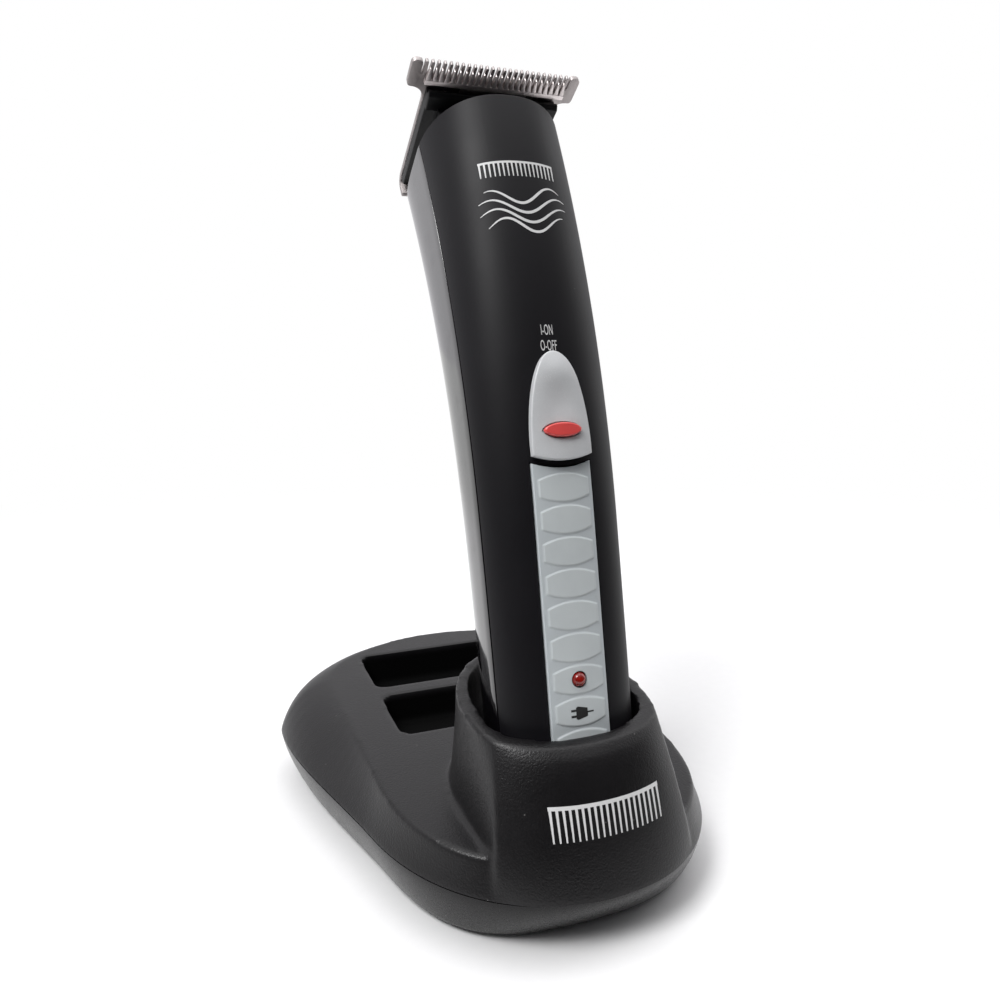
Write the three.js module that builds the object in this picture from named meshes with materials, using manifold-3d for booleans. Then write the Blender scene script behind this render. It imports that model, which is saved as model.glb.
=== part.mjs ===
// Cordless T-blade hair clipper standing in its charging stand.
// Units are millimetres, +Z is up, X = 0 is the plane of symmetry and the switch side faces -Y.
// The origin is on the ground, under the middle of the stand.
import * as THREE from 'three';
import { mergeVertices } from 'three/addons/utils/BufferGeometryUtils.js';
import Module from 'manifold-3d';

const wasm = await Module();
wasm.setup();

// ---------- driving dimensions ----------
const GAP = 0.3;                 // clearance between pieces that only touch
const FAR = 200;                 // longer than anything here, for cutting tools
const RIGHT = 1;
const LEFT = -1;

// stand, plan and heights
const STAND_LENGTH = 125;
const STAND_WIDTH = 104;
const PARTING_Z = 12.8;          // where the top shell meets the bottom pan
const DECK_Z = 22.3;             // deck height at the origin
const DECK_RISE = 0.043;         // the deck climbs this much per millimetre towards the rear
const STAND_WALL = 2.2;
const BAND_BULGE = 2;            // the band swells this much round the rear corners
const BAND_FROM_Y = -10;          // the swelling starts here
const BAND_FULL_Y = 40;           // and is full from here on
const BAND_FULL_X = 35;           // nearer the middle of the rear it fades out again
const BAND_INSET = 14.5;          // how far the sloped side band steps in to the deck, on each side
const FOOT_HEIGHT = 1;
const PAN_WALL = 2;
const PAN_DRAFT_SIDE = 3.6;
const PAN_DRAFT_FRONT = 7.5;
// share of the pan's height, and share of its draft there
const PAN_LEVELS = [[0, 1.25], [0.12, 1], [0.4, 0.62], [0.7, 0.28], [1, 0.05]];

// tower that holds the handpiece
const RIM_SETBACK = 11.2;         // the rim's front edge stands this far behind the nose
const RIM_FRONT_Z = 39.7;
const RIM_RISE = 0.14;
const RIM_HALF_WIDTH = 21.1;
const TOWER_FOOT_HALF_WIDTH = 23.7;
const TOWER_FRONT_BOW = 0.62;     // powers below 1 make a curve hollow, above 1 full
const TOWER_SIDE_BOW = 1.7;
const TOWER_WIDEST = 30;          // its widest place and its back, behind the nose
const TOWER_BACK = 58.5;
const TOWER_BACK_DRAFT = 4.5;
const CREASE_X = 22.3;            // the crease between front and side, at the foot of the tower
const CREASE_BACK = 7.4;
const CREASE_X_DRAFT = 3.6;       // how far it moves in and back on its way up
const CREASE_BACK_DRAFT = 10.3;
const SOCKET_CLEARANCE = 0.8;    // room round the handpiece low in the socket
const SOCKET_FLOOR = 2;
const SOCKET_STRAIGHT = 12;       // straight up to here, fully flared from SOCKET_MOUTH on
const SOCKET_MOUTH = 24;
const SOCKET_TOP = 60;
const MOUTH_BACK_FLARE = 3.2;     // the flare's share behind, and in front, of that at the sides
const MOUTH_FRONT_FLARE = 0.4;
const MOUTH_FLARE = 1.6;         // the socket widens by this much at its mouth

// storage wells in the deck
const WELL_HALF_WIDTH = 26;
const WELL_LENGTH = 21.5;
const WELL_DIVIDER = 6;
const WELL_REAR_Y = 49.4;
const WELL_FLOOR_Z = 14.5;
const WELL_CORNER = 3;

// handpiece body
const BODY_LEAN = 11.8;          // degrees, in the stand
const BODY_LENGTH = 154;         // along the front line, from the bottom to the blade end
const STRAIGHT_LENGTH = 60.6;    // lower part without bend
const BEND_RADIUS = 350;
const BODY_HALF_WIDTH = 15.7;
const HEAD_HALF_WIDTH = 16.9;
const BODY_DEPTH = 27;
const HEAD_DEPTH = 38;
const SEAM_LOW = 7;
const SEAM_HIGH = 16;
const BODY_FRONT_Y = -50.6;      // lowest point of the front line
const BODY_FRONT_Z = 22.7;
const SHELL_WALL = 2.2;
const EDGE_ROUND = 2.5;          // rounding of the bottom edge

// grip strip, lamp and switch
const STRIP_HALF_WIDTH = 6.6;
const STRIP_END = 72.9;          // along the front line
const STRIP_START = 4;
const EDGE_SAG = 1.2;             // the facing edges of strip and button dip this much in the middle
const STRIP_DEPTH = 1;
const STRIP_PROUD = 0.4;
const LED_AT = 28.8;
const LED_RADIUS = 1.6;
const LED_PROUD = 1.1;            // above the strip
const SWITCH_AT = 74.9;          // lower edge of the button, along the front line
const SWITCH_LENGTH = 22;
const BUTTON_BELLY = 0.3;         // its sides lean out this much before they close in
const SWITCH_TRAVEL = 4.5;
const SWITCH_LIFT = 0.4;         // air under the button
const SWITCH_THICKNESS = 1.8;
const MARK_SEAT = 0.5;            // depth of its recess in the button
const MARK_PROUD = 0.7;
const MARK_HALF_WIDTH = 4.2;
const MARK_HALF_HEIGHT = 1.45;
const MARK_AT = 4.4;              // above the button's lower edge
const STEM_HALF_WIDTH = 1.5;
const STEM_HALF_LENGTH = 2;
const STEM_REACH = 4.2;           // behind the front line
const UNIT = { halfWidth: 4.5, rear: 5.2, low: -5.5, high: 9.5 };   // the electrical switch round the stem

// blade head, in its own frame: u runs from the heel to the tips, depth runs inwards
const HEAD_ANGLE = 33.7;         // degrees between the blade plane and a level plane, seen from the side
const HEEL_Y = 30.2;
const HEEL_Z = 159.2;
const BLADE_LENGTH = 36.4;
const BLADE_THICKNESS = 1.2;
const NECK_HALF_WIDTH = 15.9;
const TEE_HALF_WIDTH = 20.2;
const TEE_DEPTH = 6.8;
const TOOTH_COUNT = 25;
const TOOTH_PITCH = 1.4;
const TOOTH_LENGTH = 3.2;
const TOOTH_ROOT = 0.8;          // tooth width at its root
const TOOTH_TIP = 0.5;
const HEEL_CURL = 4.4;            // depth that the rolled rear edge reaches
const HEEL_BEND = 2.4;
const POST_GAP = 0.6;             // between the outer teeth and the posts
const BLADE_CORNER = 0.8;
const MOUTH_DEPTH = 9.5;         // the shells end this far inside the blade plane
const CUTTER_SETBACK = 0.9;      // moving teeth stop this far behind the fixed ones
const CUTTER_THICKNESS = 1.4;
const CUTTER_TOOTH_LENGTH = 2.6;
const CUTTER_STEM_HALF_WIDTH = 8;
const CUTTER_STEM_END = 11;
const STROKE = 1.2;              // each way
const HOLDER_HALF_WIDTH = 13;
const HOLDER_START = 9;
const HOLDER_END = 27.4;
const HOLDER_DEPTH = 8.6;
const HINGE_U = 6.2;
const HINGE_DEPTH = 6.2;
const HINGE_PIN_RADIUS = 1;
const BLADE_SCREW_X = 11;
const BLADE_SCREW_U = 11.5;
const BLADE_SCREW_HEAD = 2.1;
const BLADE_SCREW_PROUD = 1.1;
const SPRING_HALF_WIDTH = 4.5;    // leaf spring: flat at the rear, a ridge, then down to the cutter
const SPRING_THICKNESS = 0.4;
const SPRING_START = 3.2;
const SPRING_FLAT_END = 5.5;
const SPRING_RIDGE_U = 8;
const SPRING_FLAT_DEPTH = 1.6;
const SPRING_RIDGE_DEPTH = 2.4;
const SPRING_TIP_DEPTH = 1.9;
const SCREW_RADIUS = 1;
const YOKE_HALF_WIDTH = 6;
const YOKE_HALF_LENGTH = 5.2;
const CAM_RADIUS = 3.2;
const CAM_ROOM = 1.8;             // free space round the cam in the chassis
const CRANK_PIN_RADIUS = 0.8;
const SHAFT_RADIUS = 1;

// inside the handpiece
const MOTOR_RADIUS = 9.5;
const MOTOR_FRONT_U = 28.5;       // its side next to the front shell, along the blade
const MOTOR_HOLD = 1.8;           // wall of the ring that holds it
const MOTOR_NOSE_RADIUS = 3;
const MOTOR_NOSE_LENGTH = 1.5;
const MOTOR_LENGTH = 25;
const MOTOR_DEPTH = 20;          // front face of the motor, inwards from the blade plane
const MOTOR_CAP = 3;
const DRIVE_U = MOTOR_FRONT_U - MOTOR_RADIUS;   // where the motor's axis meets the blade
const CAM_FRONT = 10.5;          // depths behind the blade plane
const CAM_BACK = 15.5;
const CRANK_FRONT = 4.5;
const SHAFT_FRONT = 13;
const CELL_RADIUS = 7.2;
const CELL_LENGTH = 50;
const CELL_AT = 12;
const CELL_BUTTON_RADIUS = 2.6;   // the raised positive end
const CELL_BUTTON_HEIGHT = 1;
const TAB_HALF_WIDTH = 4;
const TAB_LOW_THICKNESS = 0.7;
const TAB_HIGH_THICKNESS = 0.6;
const BOARD_HALF_WIDTH = 8.5;
const BOARD_THICKNESS = 1.6;
const BOARD_DEPTH = 6.6;         // behind the front line
const BOARD_START = 10.5;
const BOARD_END = 92;
const CONTACT_X = 4.5;
const CONTACT_RADIUS = 2.2;
const CONTACT_THICKNESS = 1.2;
const PIN_RADIUS = 1;
const PIN_LENGTH = 7;
const PIN_SHOULDER = 0.6;         // its tip tapers from here

// ---------- colours ----------
function plastic(color, roughness = 0.5) {
  return new THREE.MeshStandardMaterial({ color, roughness, metalness: 0 });
}
function metal(color, roughness = 0.35) {
  return new THREE.MeshStandardMaterial({ color, roughness, metalness: 1 });
}
const FINISH = {
  standShell: plastic(0x1d1c1f, 0.62),
  pan: plastic(0x2a292d, 0.38),
  rubber: plastic(0x151515, 0.9),
  frontShell: plastic(0x26252a, 0.5),
  rearShell: plastic(0x0f0e11, 0.14),
  strip: plastic(0xacb4b4, 0.45),
  button: plastic(0xb2b8b8, 0.35),
  mark: plastic(0xe15a5a, 0.4),
  lamp: plastic(0x96140f, 0.15),
  steel: metal(0x96918e, 0.34),
  cutterSteel: metal(0xa8a29e, 0.4),
  blackPlastic: plastic(0x101012, 0.3),
  whitePlastic: plastic(0xe6e2d8, 0.5),
  board: plastic(0x1f6b35, 0.5),
  nickel: metal(0xc0bcb4, 0.3),
  brass: metal(0xb88f45, 0.35),
  cellWrap: plastic(0x3c7d46, 0.4),
};

// ---------- solids ----------
const part = new THREE.Group();

/** Turns a closed three.js geometry into a solid that can be cut and joined. */
function solidOf(geometry) {
  const plain = geometry.clone();
  plain.deleteAttribute('normal');
  plain.deleteAttribute('uv');
  const merged = mergeVertices(plain, 1e-5);
  return new wasm.Manifold(new wasm.Mesh({
    numProp: 3,
    vertProperties: new Float32Array(merged.attributes.position.array),
    triVerts: new Uint32Array(merged.index.array),
  }));
}

function geometryOf(solid) {
  const raw = solid.getMesh();
  const geometry = new THREE.BufferGeometry();
  geometry.setAttribute('position', new THREE.BufferAttribute(new Float32Array(raw.vertProperties), 3));
  geometry.setIndex(new THREE.BufferAttribute(new Uint32Array(raw.triVerts), 1));
  geometry.computeVertexNormals();
  return geometry;
}

/** Adds one named piece; the shape is a solid or a geometry, already in the row frame unless in a group. */
function addPiece(name, shape, material, parent = part) {
  const geometry = shape.isBufferGeometry ? shape : geometryOf(shape);
  const piece = new THREE.Mesh(geometry, material);
  piece.name = name;
  parent.add(piece);
  return piece;
}

function boxSolid(x0, x1, y0, y1, z0, z1) {
  const geometry = new THREE.BoxGeometry(x1 - x0, y1 - y0, z1 - z0);
  geometry.translate((x0 + x1) / 2, (y0 + y1) / 2, (z0 + z1) / 2);
  return solidOf(geometry);
}

/** An upright round bar between two heights. */
function roundBar(radius, x, y, z0, z1, facets = 20) {
  const geometry = new THREE.CylinderGeometry(radius, radius, z1 - z0, facets);
  geometry.rotateX(Math.PI / 2);
  geometry.translate(x, y, (z0 + z1) / 2);
  return solidOf(geometry);
}

/** A round bar lying along X. */
function crossBar(radius, x0, x1, y, z, facets = 16) {
  const geometry = new THREE.CylinderGeometry(radius, radius, x1 - x0, facets);
  geometry.rotateZ(Math.PI / 2);
  geometry.translate((x0 + x1) / 2, y, z);
  return solidOf(geometry);
}

/** A closed body through rings of points; every ring has the same count and each end is closed flat. */
function loft(rings) {
  const count = rings[0].length;
  const positions = [];
  const index = [];
  for (const ring of rings) {
    for (const p of ring) positions.push(p.x, p.y, p.z);
  }
  for (let r = 0; r + 1 < rings.length; r += 1) {
    for (let i = 0; i < count; i += 1) {
      const j = (i + 1) % count;
      const a = r * count + i;
      const b = r * count + j;
      index.push(a, b, b + count, a, b + count, a + count);
    }
  }
  closeEnd(rings[0], 0, positions, index, true);
  closeEnd(rings[rings.length - 1], (rings.length - 1) * count, positions, index, false);
  const geometry = new THREE.BufferGeometry();
  geometry.setAttribute('position', new THREE.Float32BufferAttribute(positions, 3));
  geometry.setIndex(index);
  const solid = solidOf(geometry);
  return solid.volume() > 0 ? solid : solidOf(flipped(geometry));
}

function closeEnd(ring, start, positions, index, reversed) {
  const middle = new THREE.Vector3();
  for (const p of ring) middle.addScaledVector(p, 1 / ring.length);
  const hub = positions.length / 3;
  positions.push(middle.x, middle.y, middle.z);
  for (let i = 0; i < ring.length; i += 1) {
    const j = (i + 1) % ring.length;
    if (reversed) index.push(hub, start + j, start + i);
    else index.push(hub, start + i, start + j);
  }
}

function flipped(geometry) {
  const index = Array.from(geometry.index.array);
  for (let i = 0; i < index.length; i += 3) {
    const kept = index[i];
    index[i] = index[i + 1];
    index[i + 1] = kept;
  }
  geometry.setIndex(index);
  return geometry;
}

function placed(solid, matrix) {
  const geometry = geometryOf(solid);
  geometry.applyMatrix4(matrix);
  return solidOf(geometry);
}

// ---------- stand plan ----------
const STAND_FRONT_Y = -STAND_LENGTH / 2;
const STAND_REAR_Y = STAND_LENGTH / 2;

/** Closed plan outline of the stand from a half outline that starts at the nose and ends at the rear. */
function mirroredRing(halfPoints, heightAt) {
  const ring = halfPoints.map((p) => new THREE.Vector3(p.x, p.y, heightAt(p.x, p.y)));
  for (let i = halfPoints.length - 2; i > 0; i -= 1) {
    const { x, y } = halfPoints[i];
    ring.push(new THREE.Vector3(-x, y, heightAt(-x, y)));
  }
  return ring;
}

/** Half outline: round nose, nearly straight flank, rounded corner, bowed rear. */
function halfPlan({ noseY, flankX, flankY, cornerX, cornerY, rearY, noseBulge, steps = 5 }) {
  const nose = new THREE.CubicBezierCurve(
    new THREE.Vector2(0, noseY),
    new THREE.Vector2(noseBulge, noseY),
    new THREE.Vector2(flankX - (cornerX - flankX) * 0.45, flankY - (cornerY - flankY) * 0.42),
    new THREE.Vector2(flankX, flankY),
  );
  const flank = new THREE.CubicBezierCurve(
    new THREE.Vector2(flankX, flankY),
    new THREE.Vector2(flankX + (cornerX - flankX) * 0.36, flankY + (cornerY - flankY) * 0.33),
    new THREE.Vector2(cornerX, cornerY - (cornerY - flankY) * 0.33),
    new THREE.Vector2(cornerX, cornerY),
  );
  const rear = new THREE.CubicBezierCurve(
    new THREE.Vector2(cornerX, cornerY),
    new THREE.Vector2(cornerX * 0.98, cornerY + (rearY - cornerY) * 0.45),
    new THREE.Vector2(cornerX * 0.55, rearY),
    new THREE.Vector2(0, rearY),
  );
  const points = nose.getPoints(steps * 2);
  points.push(...flank.getPoints(steps).slice(1));
  points.push(...rear.getPoints(steps * 2).slice(1));
  return points;
}

function deckHeight(y) {
  return DECK_Z + DECK_RISE * y;
}

const PARTING_PLAN = {
  noseY: STAND_FRONT_Y,
  flankX: STAND_WIDTH / 2 - 12,
  flankY: STAND_FRONT_Y + 37,
  cornerX: STAND_WIDTH / 2,
  cornerY: STAND_REAR_Y - 30,
  rearY: STAND_REAR_Y,
  noseBulge: 19,
};

/** The plan of the stand pulled in by different amounts at the nose, the sides and the rear. */
function insetPlan(plan, front, side, rear) {
  return {
    ...plan,
    noseY: plan.noseY + front,
    flankX: plan.flankX - side,
    flankY: plan.flankY,
    cornerX: plan.cornerX - side,
    cornerY: plan.cornerY,
    rearY: plan.rearY - rear,
  };
}

const CREASE_PLAN = {
  noseY: STAND_FRONT_Y + 4,
  flankX: STAND_WIDTH / 2 - BAND_INSET - 1,
  flankY: STAND_FRONT_Y + 44,
  cornerX: STAND_WIDTH / 2 - BAND_INSET,
  cornerY: STAND_REAR_Y - 26,
  rearY: STAND_REAR_Y - 2,
  noseBulge: 25,
};

function baseBody(wall, bottomZ) {
  const low = mirroredRing(halfPlan(insetPlan(PARTING_PLAN, wall, wall, wall)), () => bottomZ);
  const line = mirroredRing(halfPlan(insetPlan(PARTING_PLAN, wall, wall, wall)), () => PARTING_Z);
  const deck = mirroredRing(halfPlan(insetPlan(CREASE_PLAN, wall, wall * 0.8, wall)),
    (x, y) => deckHeight(y) - wall);
  const middle = line.map((p, i) => {
    const along = THREE.MathUtils.smoothstep(p.y, BAND_FROM_Y, BAND_FULL_Y);
    const bulge = Math.SQRT1_2 * BAND_BULGE * along * Math.min(1, Math.abs(p.x) / BAND_FULL_X);
    const between = p.clone().lerp(deck[i], 0.5);
    const outwards = new THREE.Vector3(p.x, p.y, 0).normalize();
    return between.addScaledVector(outwards, bulge).setZ(between.z + bulge);
  });
  return loft(bottomZ < PARTING_Z ? [low, line, middle, deck] : [line, middle, deck]);
}

// ---------- tower ----------
const RIM_FRONT_Y = STAND_FRONT_Y + RIM_SETBACK;

function rimHeight(y) {
  return RIM_FRONT_Z + RIM_RISE * (y - RIM_FRONT_Y);
}

/** Half outline of the tower: bowed front as far as the side crease, then round the side to the back. */
function halfTower({ frontY, creaseX, creaseY, sideX, sideY, backY }) {
  const front = new THREE.QuadraticBezierCurve(
    new THREE.Vector2(0, frontY),
    new THREE.Vector2(creaseX * 0.62, frontY),
    new THREE.Vector2(creaseX, creaseY),
  );
  const side = new THREE.QuadraticBezierCurve(
    new THREE.Vector2(creaseX, creaseY),
    new THREE.Vector2(sideX, creaseY + (sideY - creaseY) * 0.35),
    new THREE.Vector2(sideX, sideY),
  );
  const back = new THREE.CubicBezierCurve(
    new THREE.Vector2(sideX, sideY),
    new THREE.Vector2(sideX, sideY + (backY - sideY) * 0.5),
    new THREE.Vector2(sideX * 0.6, backY),
    new THREE.Vector2(0, backY),
  );
  const points = front.getPoints(6);
  points.push(...side.getPoints(5).slice(1));
  points.push(...back.getPoints(9).slice(1));
  return points;
}

function towerSection(share, wall) {
  const bow = 1 - (1 - share) ** TOWER_SIDE_BOW;
  return {
    frontY: STAND_FRONT_Y + RIM_SETBACK * (1 - (1 - share) ** TOWER_FRONT_BOW) + wall,
    creaseX: CREASE_X - CREASE_X_DRAFT * share ** 1.4 - wall,
    creaseY: STAND_FRONT_Y + CREASE_BACK + CREASE_BACK_DRAFT * share ** 1.5 + wall * 0.6,
    sideX: TOWER_FOOT_HALF_WIDTH + (RIM_HALF_WIDTH - TOWER_FOOT_HALF_WIDTH) * bow - wall,
    sideY: STAND_FRONT_Y + TOWER_WIDEST,
    backY: STAND_FRONT_Y + TOWER_BACK - TOWER_BACK_DRAFT * bow - wall,
  };
}

function towerBody(wall, bottomZ) {
  const rings = [];
  if (bottomZ < PARTING_Z) rings.push(mirroredRing(halfTower(towerSection(0, wall)), () => bottomZ));
  const shares = [0, 0.15, 0.32, 0.52, 0.76, 1];
  for (const share of shares) {
    const plan = halfTower(towerSection(share, wall));
    rings.push(mirroredRing(plan, (x, y) => PARTING_Z + (rimHeight(y) - wall - PARTING_Z) * share));
  }
  return loft(rings);
}

// ---------- handpiece form ----------
function radians(degrees) {
  return degrees * Math.PI / 180;
}

function leanAt(s) {
  return radians(BODY_LEAN) + Math.max(0, s - STRAIGHT_LENGTH) / BEND_RADIUS;
}

/** Point of the front line, s millimetres up from the bottom. */
function frontLine(s) {
  const lean = radians(BODY_LEAN);
  const straight = Math.min(s, STRAIGHT_LENGTH);
  const y = BODY_FRONT_Y + straight * Math.sin(lean);
  const z = BODY_FRONT_Z + straight * Math.cos(lean);
  const top = leanAt(s);
  return new THREE.Vector3(
    0,
    y + BEND_RADIUS * (Math.cos(lean) - Math.cos(top)),
    z + BEND_RADIUS * (Math.sin(top) - Math.sin(lean)),
  );
}

function bodySection(s) {
  const share = Math.max(0, s) / BODY_LENGTH;
  const seam = SEAM_LOW + (SEAM_HIGH - SEAM_LOW) * share ** 2.2;
  return {
    half: BODY_HALF_WIDTH + (HEAD_HALF_WIDTH - BODY_HALF_WIDTH) * share,
    depth: BODY_DEPTH + (HEAD_DEPTH - BODY_DEPTH) * share ** 1.9,
    seam,
    widest: seam + 2.5,
    frontPower: 2.25,
    backPower: 2.6 + 2.2 * share ** 2,
  };
}

/** A point at x across and depth d behind the front line, at station s. */
function bodyPoint(s, x, d) {
  const front = frontLine(s);
  const lean = leanAt(s);
  return new THREE.Vector3(x, front.y + d * Math.cos(lean), front.z - d * Math.sin(lean));
}

function bodyRing(s, grow, count = 32) {
  const section = bodySection(s);
  const ring = [];
  for (let i = 0; i < count; i += 1) {
    const angle = 2 * Math.PI * i / count;
    const c = Math.cos(angle);
    const t = Math.sin(angle);
    const power = t < 0 ? section.frontPower : section.backPower;
    const reach = t < 0 ? section.widest + grow : section.depth - section.widest + grow;
    const x = (section.half + grow) * Math.sign(c) * Math.abs(c) ** (2 / power);
    const d = section.widest + reach * Math.sign(t) * Math.abs(t) ** (2 / power);
    ring.push(bodyPoint(s, x, d));
  }
  return ring;
}

const UPPER_STATIONS = [STRAIGHT_LENGTH, 76, 92, 108, 124, 140, 156, 176];

/** The outer form of the handpiece grown or shrunk by an amount, from a height s upwards. */
function bodyForm(grow, from = 0, roundBottom = true) {
  const rings = [];
  if (roundBottom) {
    rings.push(bodyRing(from, grow - EDGE_ROUND));
    rings.push(bodyRing(from + EDGE_ROUND * 0.3, grow - EDGE_ROUND * 0.3));
    rings.push(bodyRing(from + EDGE_ROUND, grow));
  } else {
    rings.push(bodyRing(from, grow));
  }
  for (const s of UPPER_STATIONS.filter((station) => station > from + 1)) rings.push(bodyRing(s, grow));
  return loft(rings);
}

/** Everything in front of the seam, moved back by an amount. */
function seamRegion(shift) {
  const rings = [-12, 0, ...UPPER_STATIONS].map((s) => {
    const back = bodySection(s).seam + shift;
    return [
      bodyPoint(s, -40, -12), bodyPoint(s, 40, -12), bodyPoint(s, 40, back), bodyPoint(s, -40, back),
    ];
  });
  return loft(rings);
}

/** Matrix of the straight lower body: local z runs up the body, local y to the rear, from the front line. */
const LOWER_FRAME = new THREE.Matrix4().makeRotationX(-radians(BODY_LEAN))
  .setPosition(0, BODY_FRONT_Y, BODY_FRONT_Z);

/** Matrix of a frame on the front line at s. */
function frontFrame(s) {
  const origin = frontLine(s);
  return new THREE.Matrix4().makeRotationX(-leanAt(s)).setPosition(0, origin.y, origin.z);
}

/** Matrix of the blade head: local y is u, from the heel to the tips; local z runs inwards. */
const HEAD_FRAME = new THREE.Matrix4().makeBasis(
  new THREE.Vector3(1, 0, 0),
  new THREE.Vector3(0, -Math.cos(radians(HEAD_ANGLE)), Math.sin(radians(HEAD_ANGLE))),
  new THREE.Vector3(0, -Math.sin(radians(HEAD_ANGLE)), -Math.cos(radians(HEAD_ANGLE))),
).setPosition(0, HEEL_Y, HEEL_Z);

function groupAt(matrix) {
  const group = new THREE.Group();
  group.applyMatrix4(matrix);
  part.add(group);
  return group;
}

/** Solid given in the blade head's frame, moved to the row frame. */
function inHead(solid) {
  return placed(solid, HEAD_FRAME);
}

function inLower(solid) {
  return placed(solid, LOWER_FRAME);
}

// ---------- stand ----------
const STAND_SCREWS = [[RIGHT * 33, 27], [LEFT * 33, 27], [RIGHT * 23, -36], [LEFT * 23, -36]];
const STAND_FEET = [[RIGHT * 38, 36], [LEFT * 38, 36], [RIGHT * 13, -44], [LEFT * 13, -44]];
const BOSS_RADIUS = 3.2;
const BOSS_Z = 7;                // top-shell bosses reach down to here
const BOSS_BORE_TOP = 14.5;
const STAND_SCREW_RADIUS = 1.3;
const STAND_SCREW_HEAD = 2.6;
const STAND_SCREW_HEAD_Z = 3.2;  // upper face of the head
const FOOT_RADIUS = 5;
const FOOT_SUNK = 0.7;           // how far a foot sits up inside its pocket
const STAND_BOARD = { halfWidth: 17, front: -47, rear: -14, z0: 9.6, z1: 11.2 };
const BOARD_POST_RADIUS = 2.2;
const BOARD_POSTS = [[RIGHT * 13, -30], [LEFT * 13, -30], [RIGHT * 13, -18], [LEFT * 13, -18]];
const BLOCK_TOP = -SOCKET_CLEARANCE - SOCKET_FLOOR - GAP;
const BLOCK_HEIGHT = 5;
const BLOCK_HALF_WIDTH = 7.5;
const BLOCK_HALF_DEPTH = 3;
const CONTACT_DEPTH = BODY_DEPTH / 2;
const JACK = {
  halfWidth: 4.5, z0: 3.6, z1: 12, front: 42.5, rear: 54, nose: 60.5, noseRadius: 3.4, bore: 2.7, depth: 9,
};

/** Hollow that takes the handpiece: its bottom section, extended along the lean, flaring at the mouth. */
function socketForm(grow, floor) {
  const section = bodySection(0);
  const count = 32;
  const out = SOCKET_CLEARANCE + grow;
  const levels = [
    [-floor, 0],
    [SOCKET_STRAIGHT, 0],
    [(SOCKET_STRAIGHT + SOCKET_MOUTH) / 2, MOUTH_FLARE * 0.4],
    [SOCKET_MOUTH, MOUTH_FLARE],
    [SOCKET_TOP, MOUTH_FLARE * 2],
  ];
  const rings = levels.map(([s, flare]) => {
    const ring = [];
    for (let i = 0; i < count; i += 1) {
      const angle = 2 * Math.PI * i / count;
      const c = Math.cos(angle);
      const t = Math.sin(angle);
      const power = t < 0 ? section.frontPower : section.backPower;
      const front = section.widest + out + flare * MOUTH_FRONT_FLARE;
      const back = section.depth - section.widest + out + flare * MOUTH_BACK_FLARE;
      const x = (section.half + out + flare) * Math.sign(c) * Math.abs(c) ** (2 / power);
      const d = section.widest + (t < 0 ? front : back) * Math.sign(t) * Math.abs(t) ** (2 / power);
      ring.push(new THREE.Vector3(x, d, s));
    }
    return ring;
  });
  return inLower(loft(rings));
}

/** A rectangle with rounded corners, raised between two heights. */
function wellForm(rear, grow, bottomZ, topZ) {
  const half = WELL_HALF_WIDTH + grow;
  const front = rear - WELL_LENGTH - grow;
  const back = rear + grow;
  const corner = WELL_CORNER + grow;
  const shape = new THREE.Shape();
  shape.moveTo(-half + corner, front);
  shape.absarc(half - corner, front + corner, corner, -Math.PI / 2, 0, false);
  shape.absarc(half - corner, back - corner, corner, 0, Math.PI / 2, false);
  shape.absarc(-half + corner, back - corner, corner, Math.PI / 2, Math.PI, false);
  shape.absarc(-half + corner, front + corner, corner, Math.PI, 1.5 * Math.PI, false);
  const settings = { depth: topZ - bottomZ, bevelEnabled: false, curveSegments: 4 };
  const geometry = new THREE.ExtrudeGeometry(shape, settings);
  geometry.translate(0, 0, bottomZ);
  return solidOf(geometry);
}

const WELL_REARS = [WELL_REAR_Y, WELL_REAR_Y - WELL_LENGTH - WELL_DIVIDER];

/** Bore through the socket floor for a charging pin, in the lower body's frame. */
function pinBore(side) {
  return inLower(roundBar(PIN_RADIUS + GAP, side * CONTACT_X, CONTACT_DEPTH, -30, 1, 12));
}

function buildStandTopShell() {
  const outer = baseBody(0, PARTING_Z).add(towerBody(0, PARTING_Z));
  const inner = baseBody(STAND_WALL, 0).add(towerBody(STAND_WALL, 0));
  const below = baseBody(0, 0);
  let shell = outer.subtract(inner);
  shell = shell.add(socketForm(STAND_WALL, SOCKET_CLEARANCE + SOCKET_FLOOR).intersect(outer));
  for (const rear of WELL_REARS) {
    shell = shell.add(wellForm(rear, PAN_WALL, WELL_FLOOR_Z - PAN_WALL, FAR).intersect(below));
  }
  for (const [x, y] of STAND_SCREWS) {
    shell = shell.add(roundBar(BOSS_RADIUS, x, y, BOSS_Z, deckHeight(y), 16).intersect(below));
  }
  shell = shell.subtract(socketForm(0, SOCKET_CLEARANCE));
  for (const rear of WELL_REARS) shell = shell.subtract(wellForm(rear, 0, WELL_FLOOR_Z, FAR));
  for (const [x, y] of STAND_SCREWS) {
    shell = shell.subtract(roundBar(STAND_SCREW_RADIUS + GAP, x, y, 0, BOSS_BORE_TOP, 12));
  }
  for (const side of [LEFT, RIGHT]) shell = shell.subtract(pinBore(side));
  return shell;
}

/** The bowl of the bottom pan, pulled in by a wall. */
function panForm(wall, bottomZ, topZ) {
  const rings = PAN_LEVELS.map(([share, draft]) => {
    const plan = insetPlan(
      PARTING_PLAN,
      wall + draft * PAN_DRAFT_FRONT,
      wall + draft * PAN_DRAFT_SIDE,
      wall + draft * PAN_DRAFT_SIDE,
    );
    return mirroredRing(halfPlan(plan), () => bottomZ + (PARTING_Z - GAP - bottomZ) * share);
  });
  if (topZ > PARTING_Z) {
    const last = rings[rings.length - 1];
    rings.push(last.map((p) => new THREE.Vector3(p.x, p.y, topZ)));
  }
  return loft(rings);
}

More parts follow.
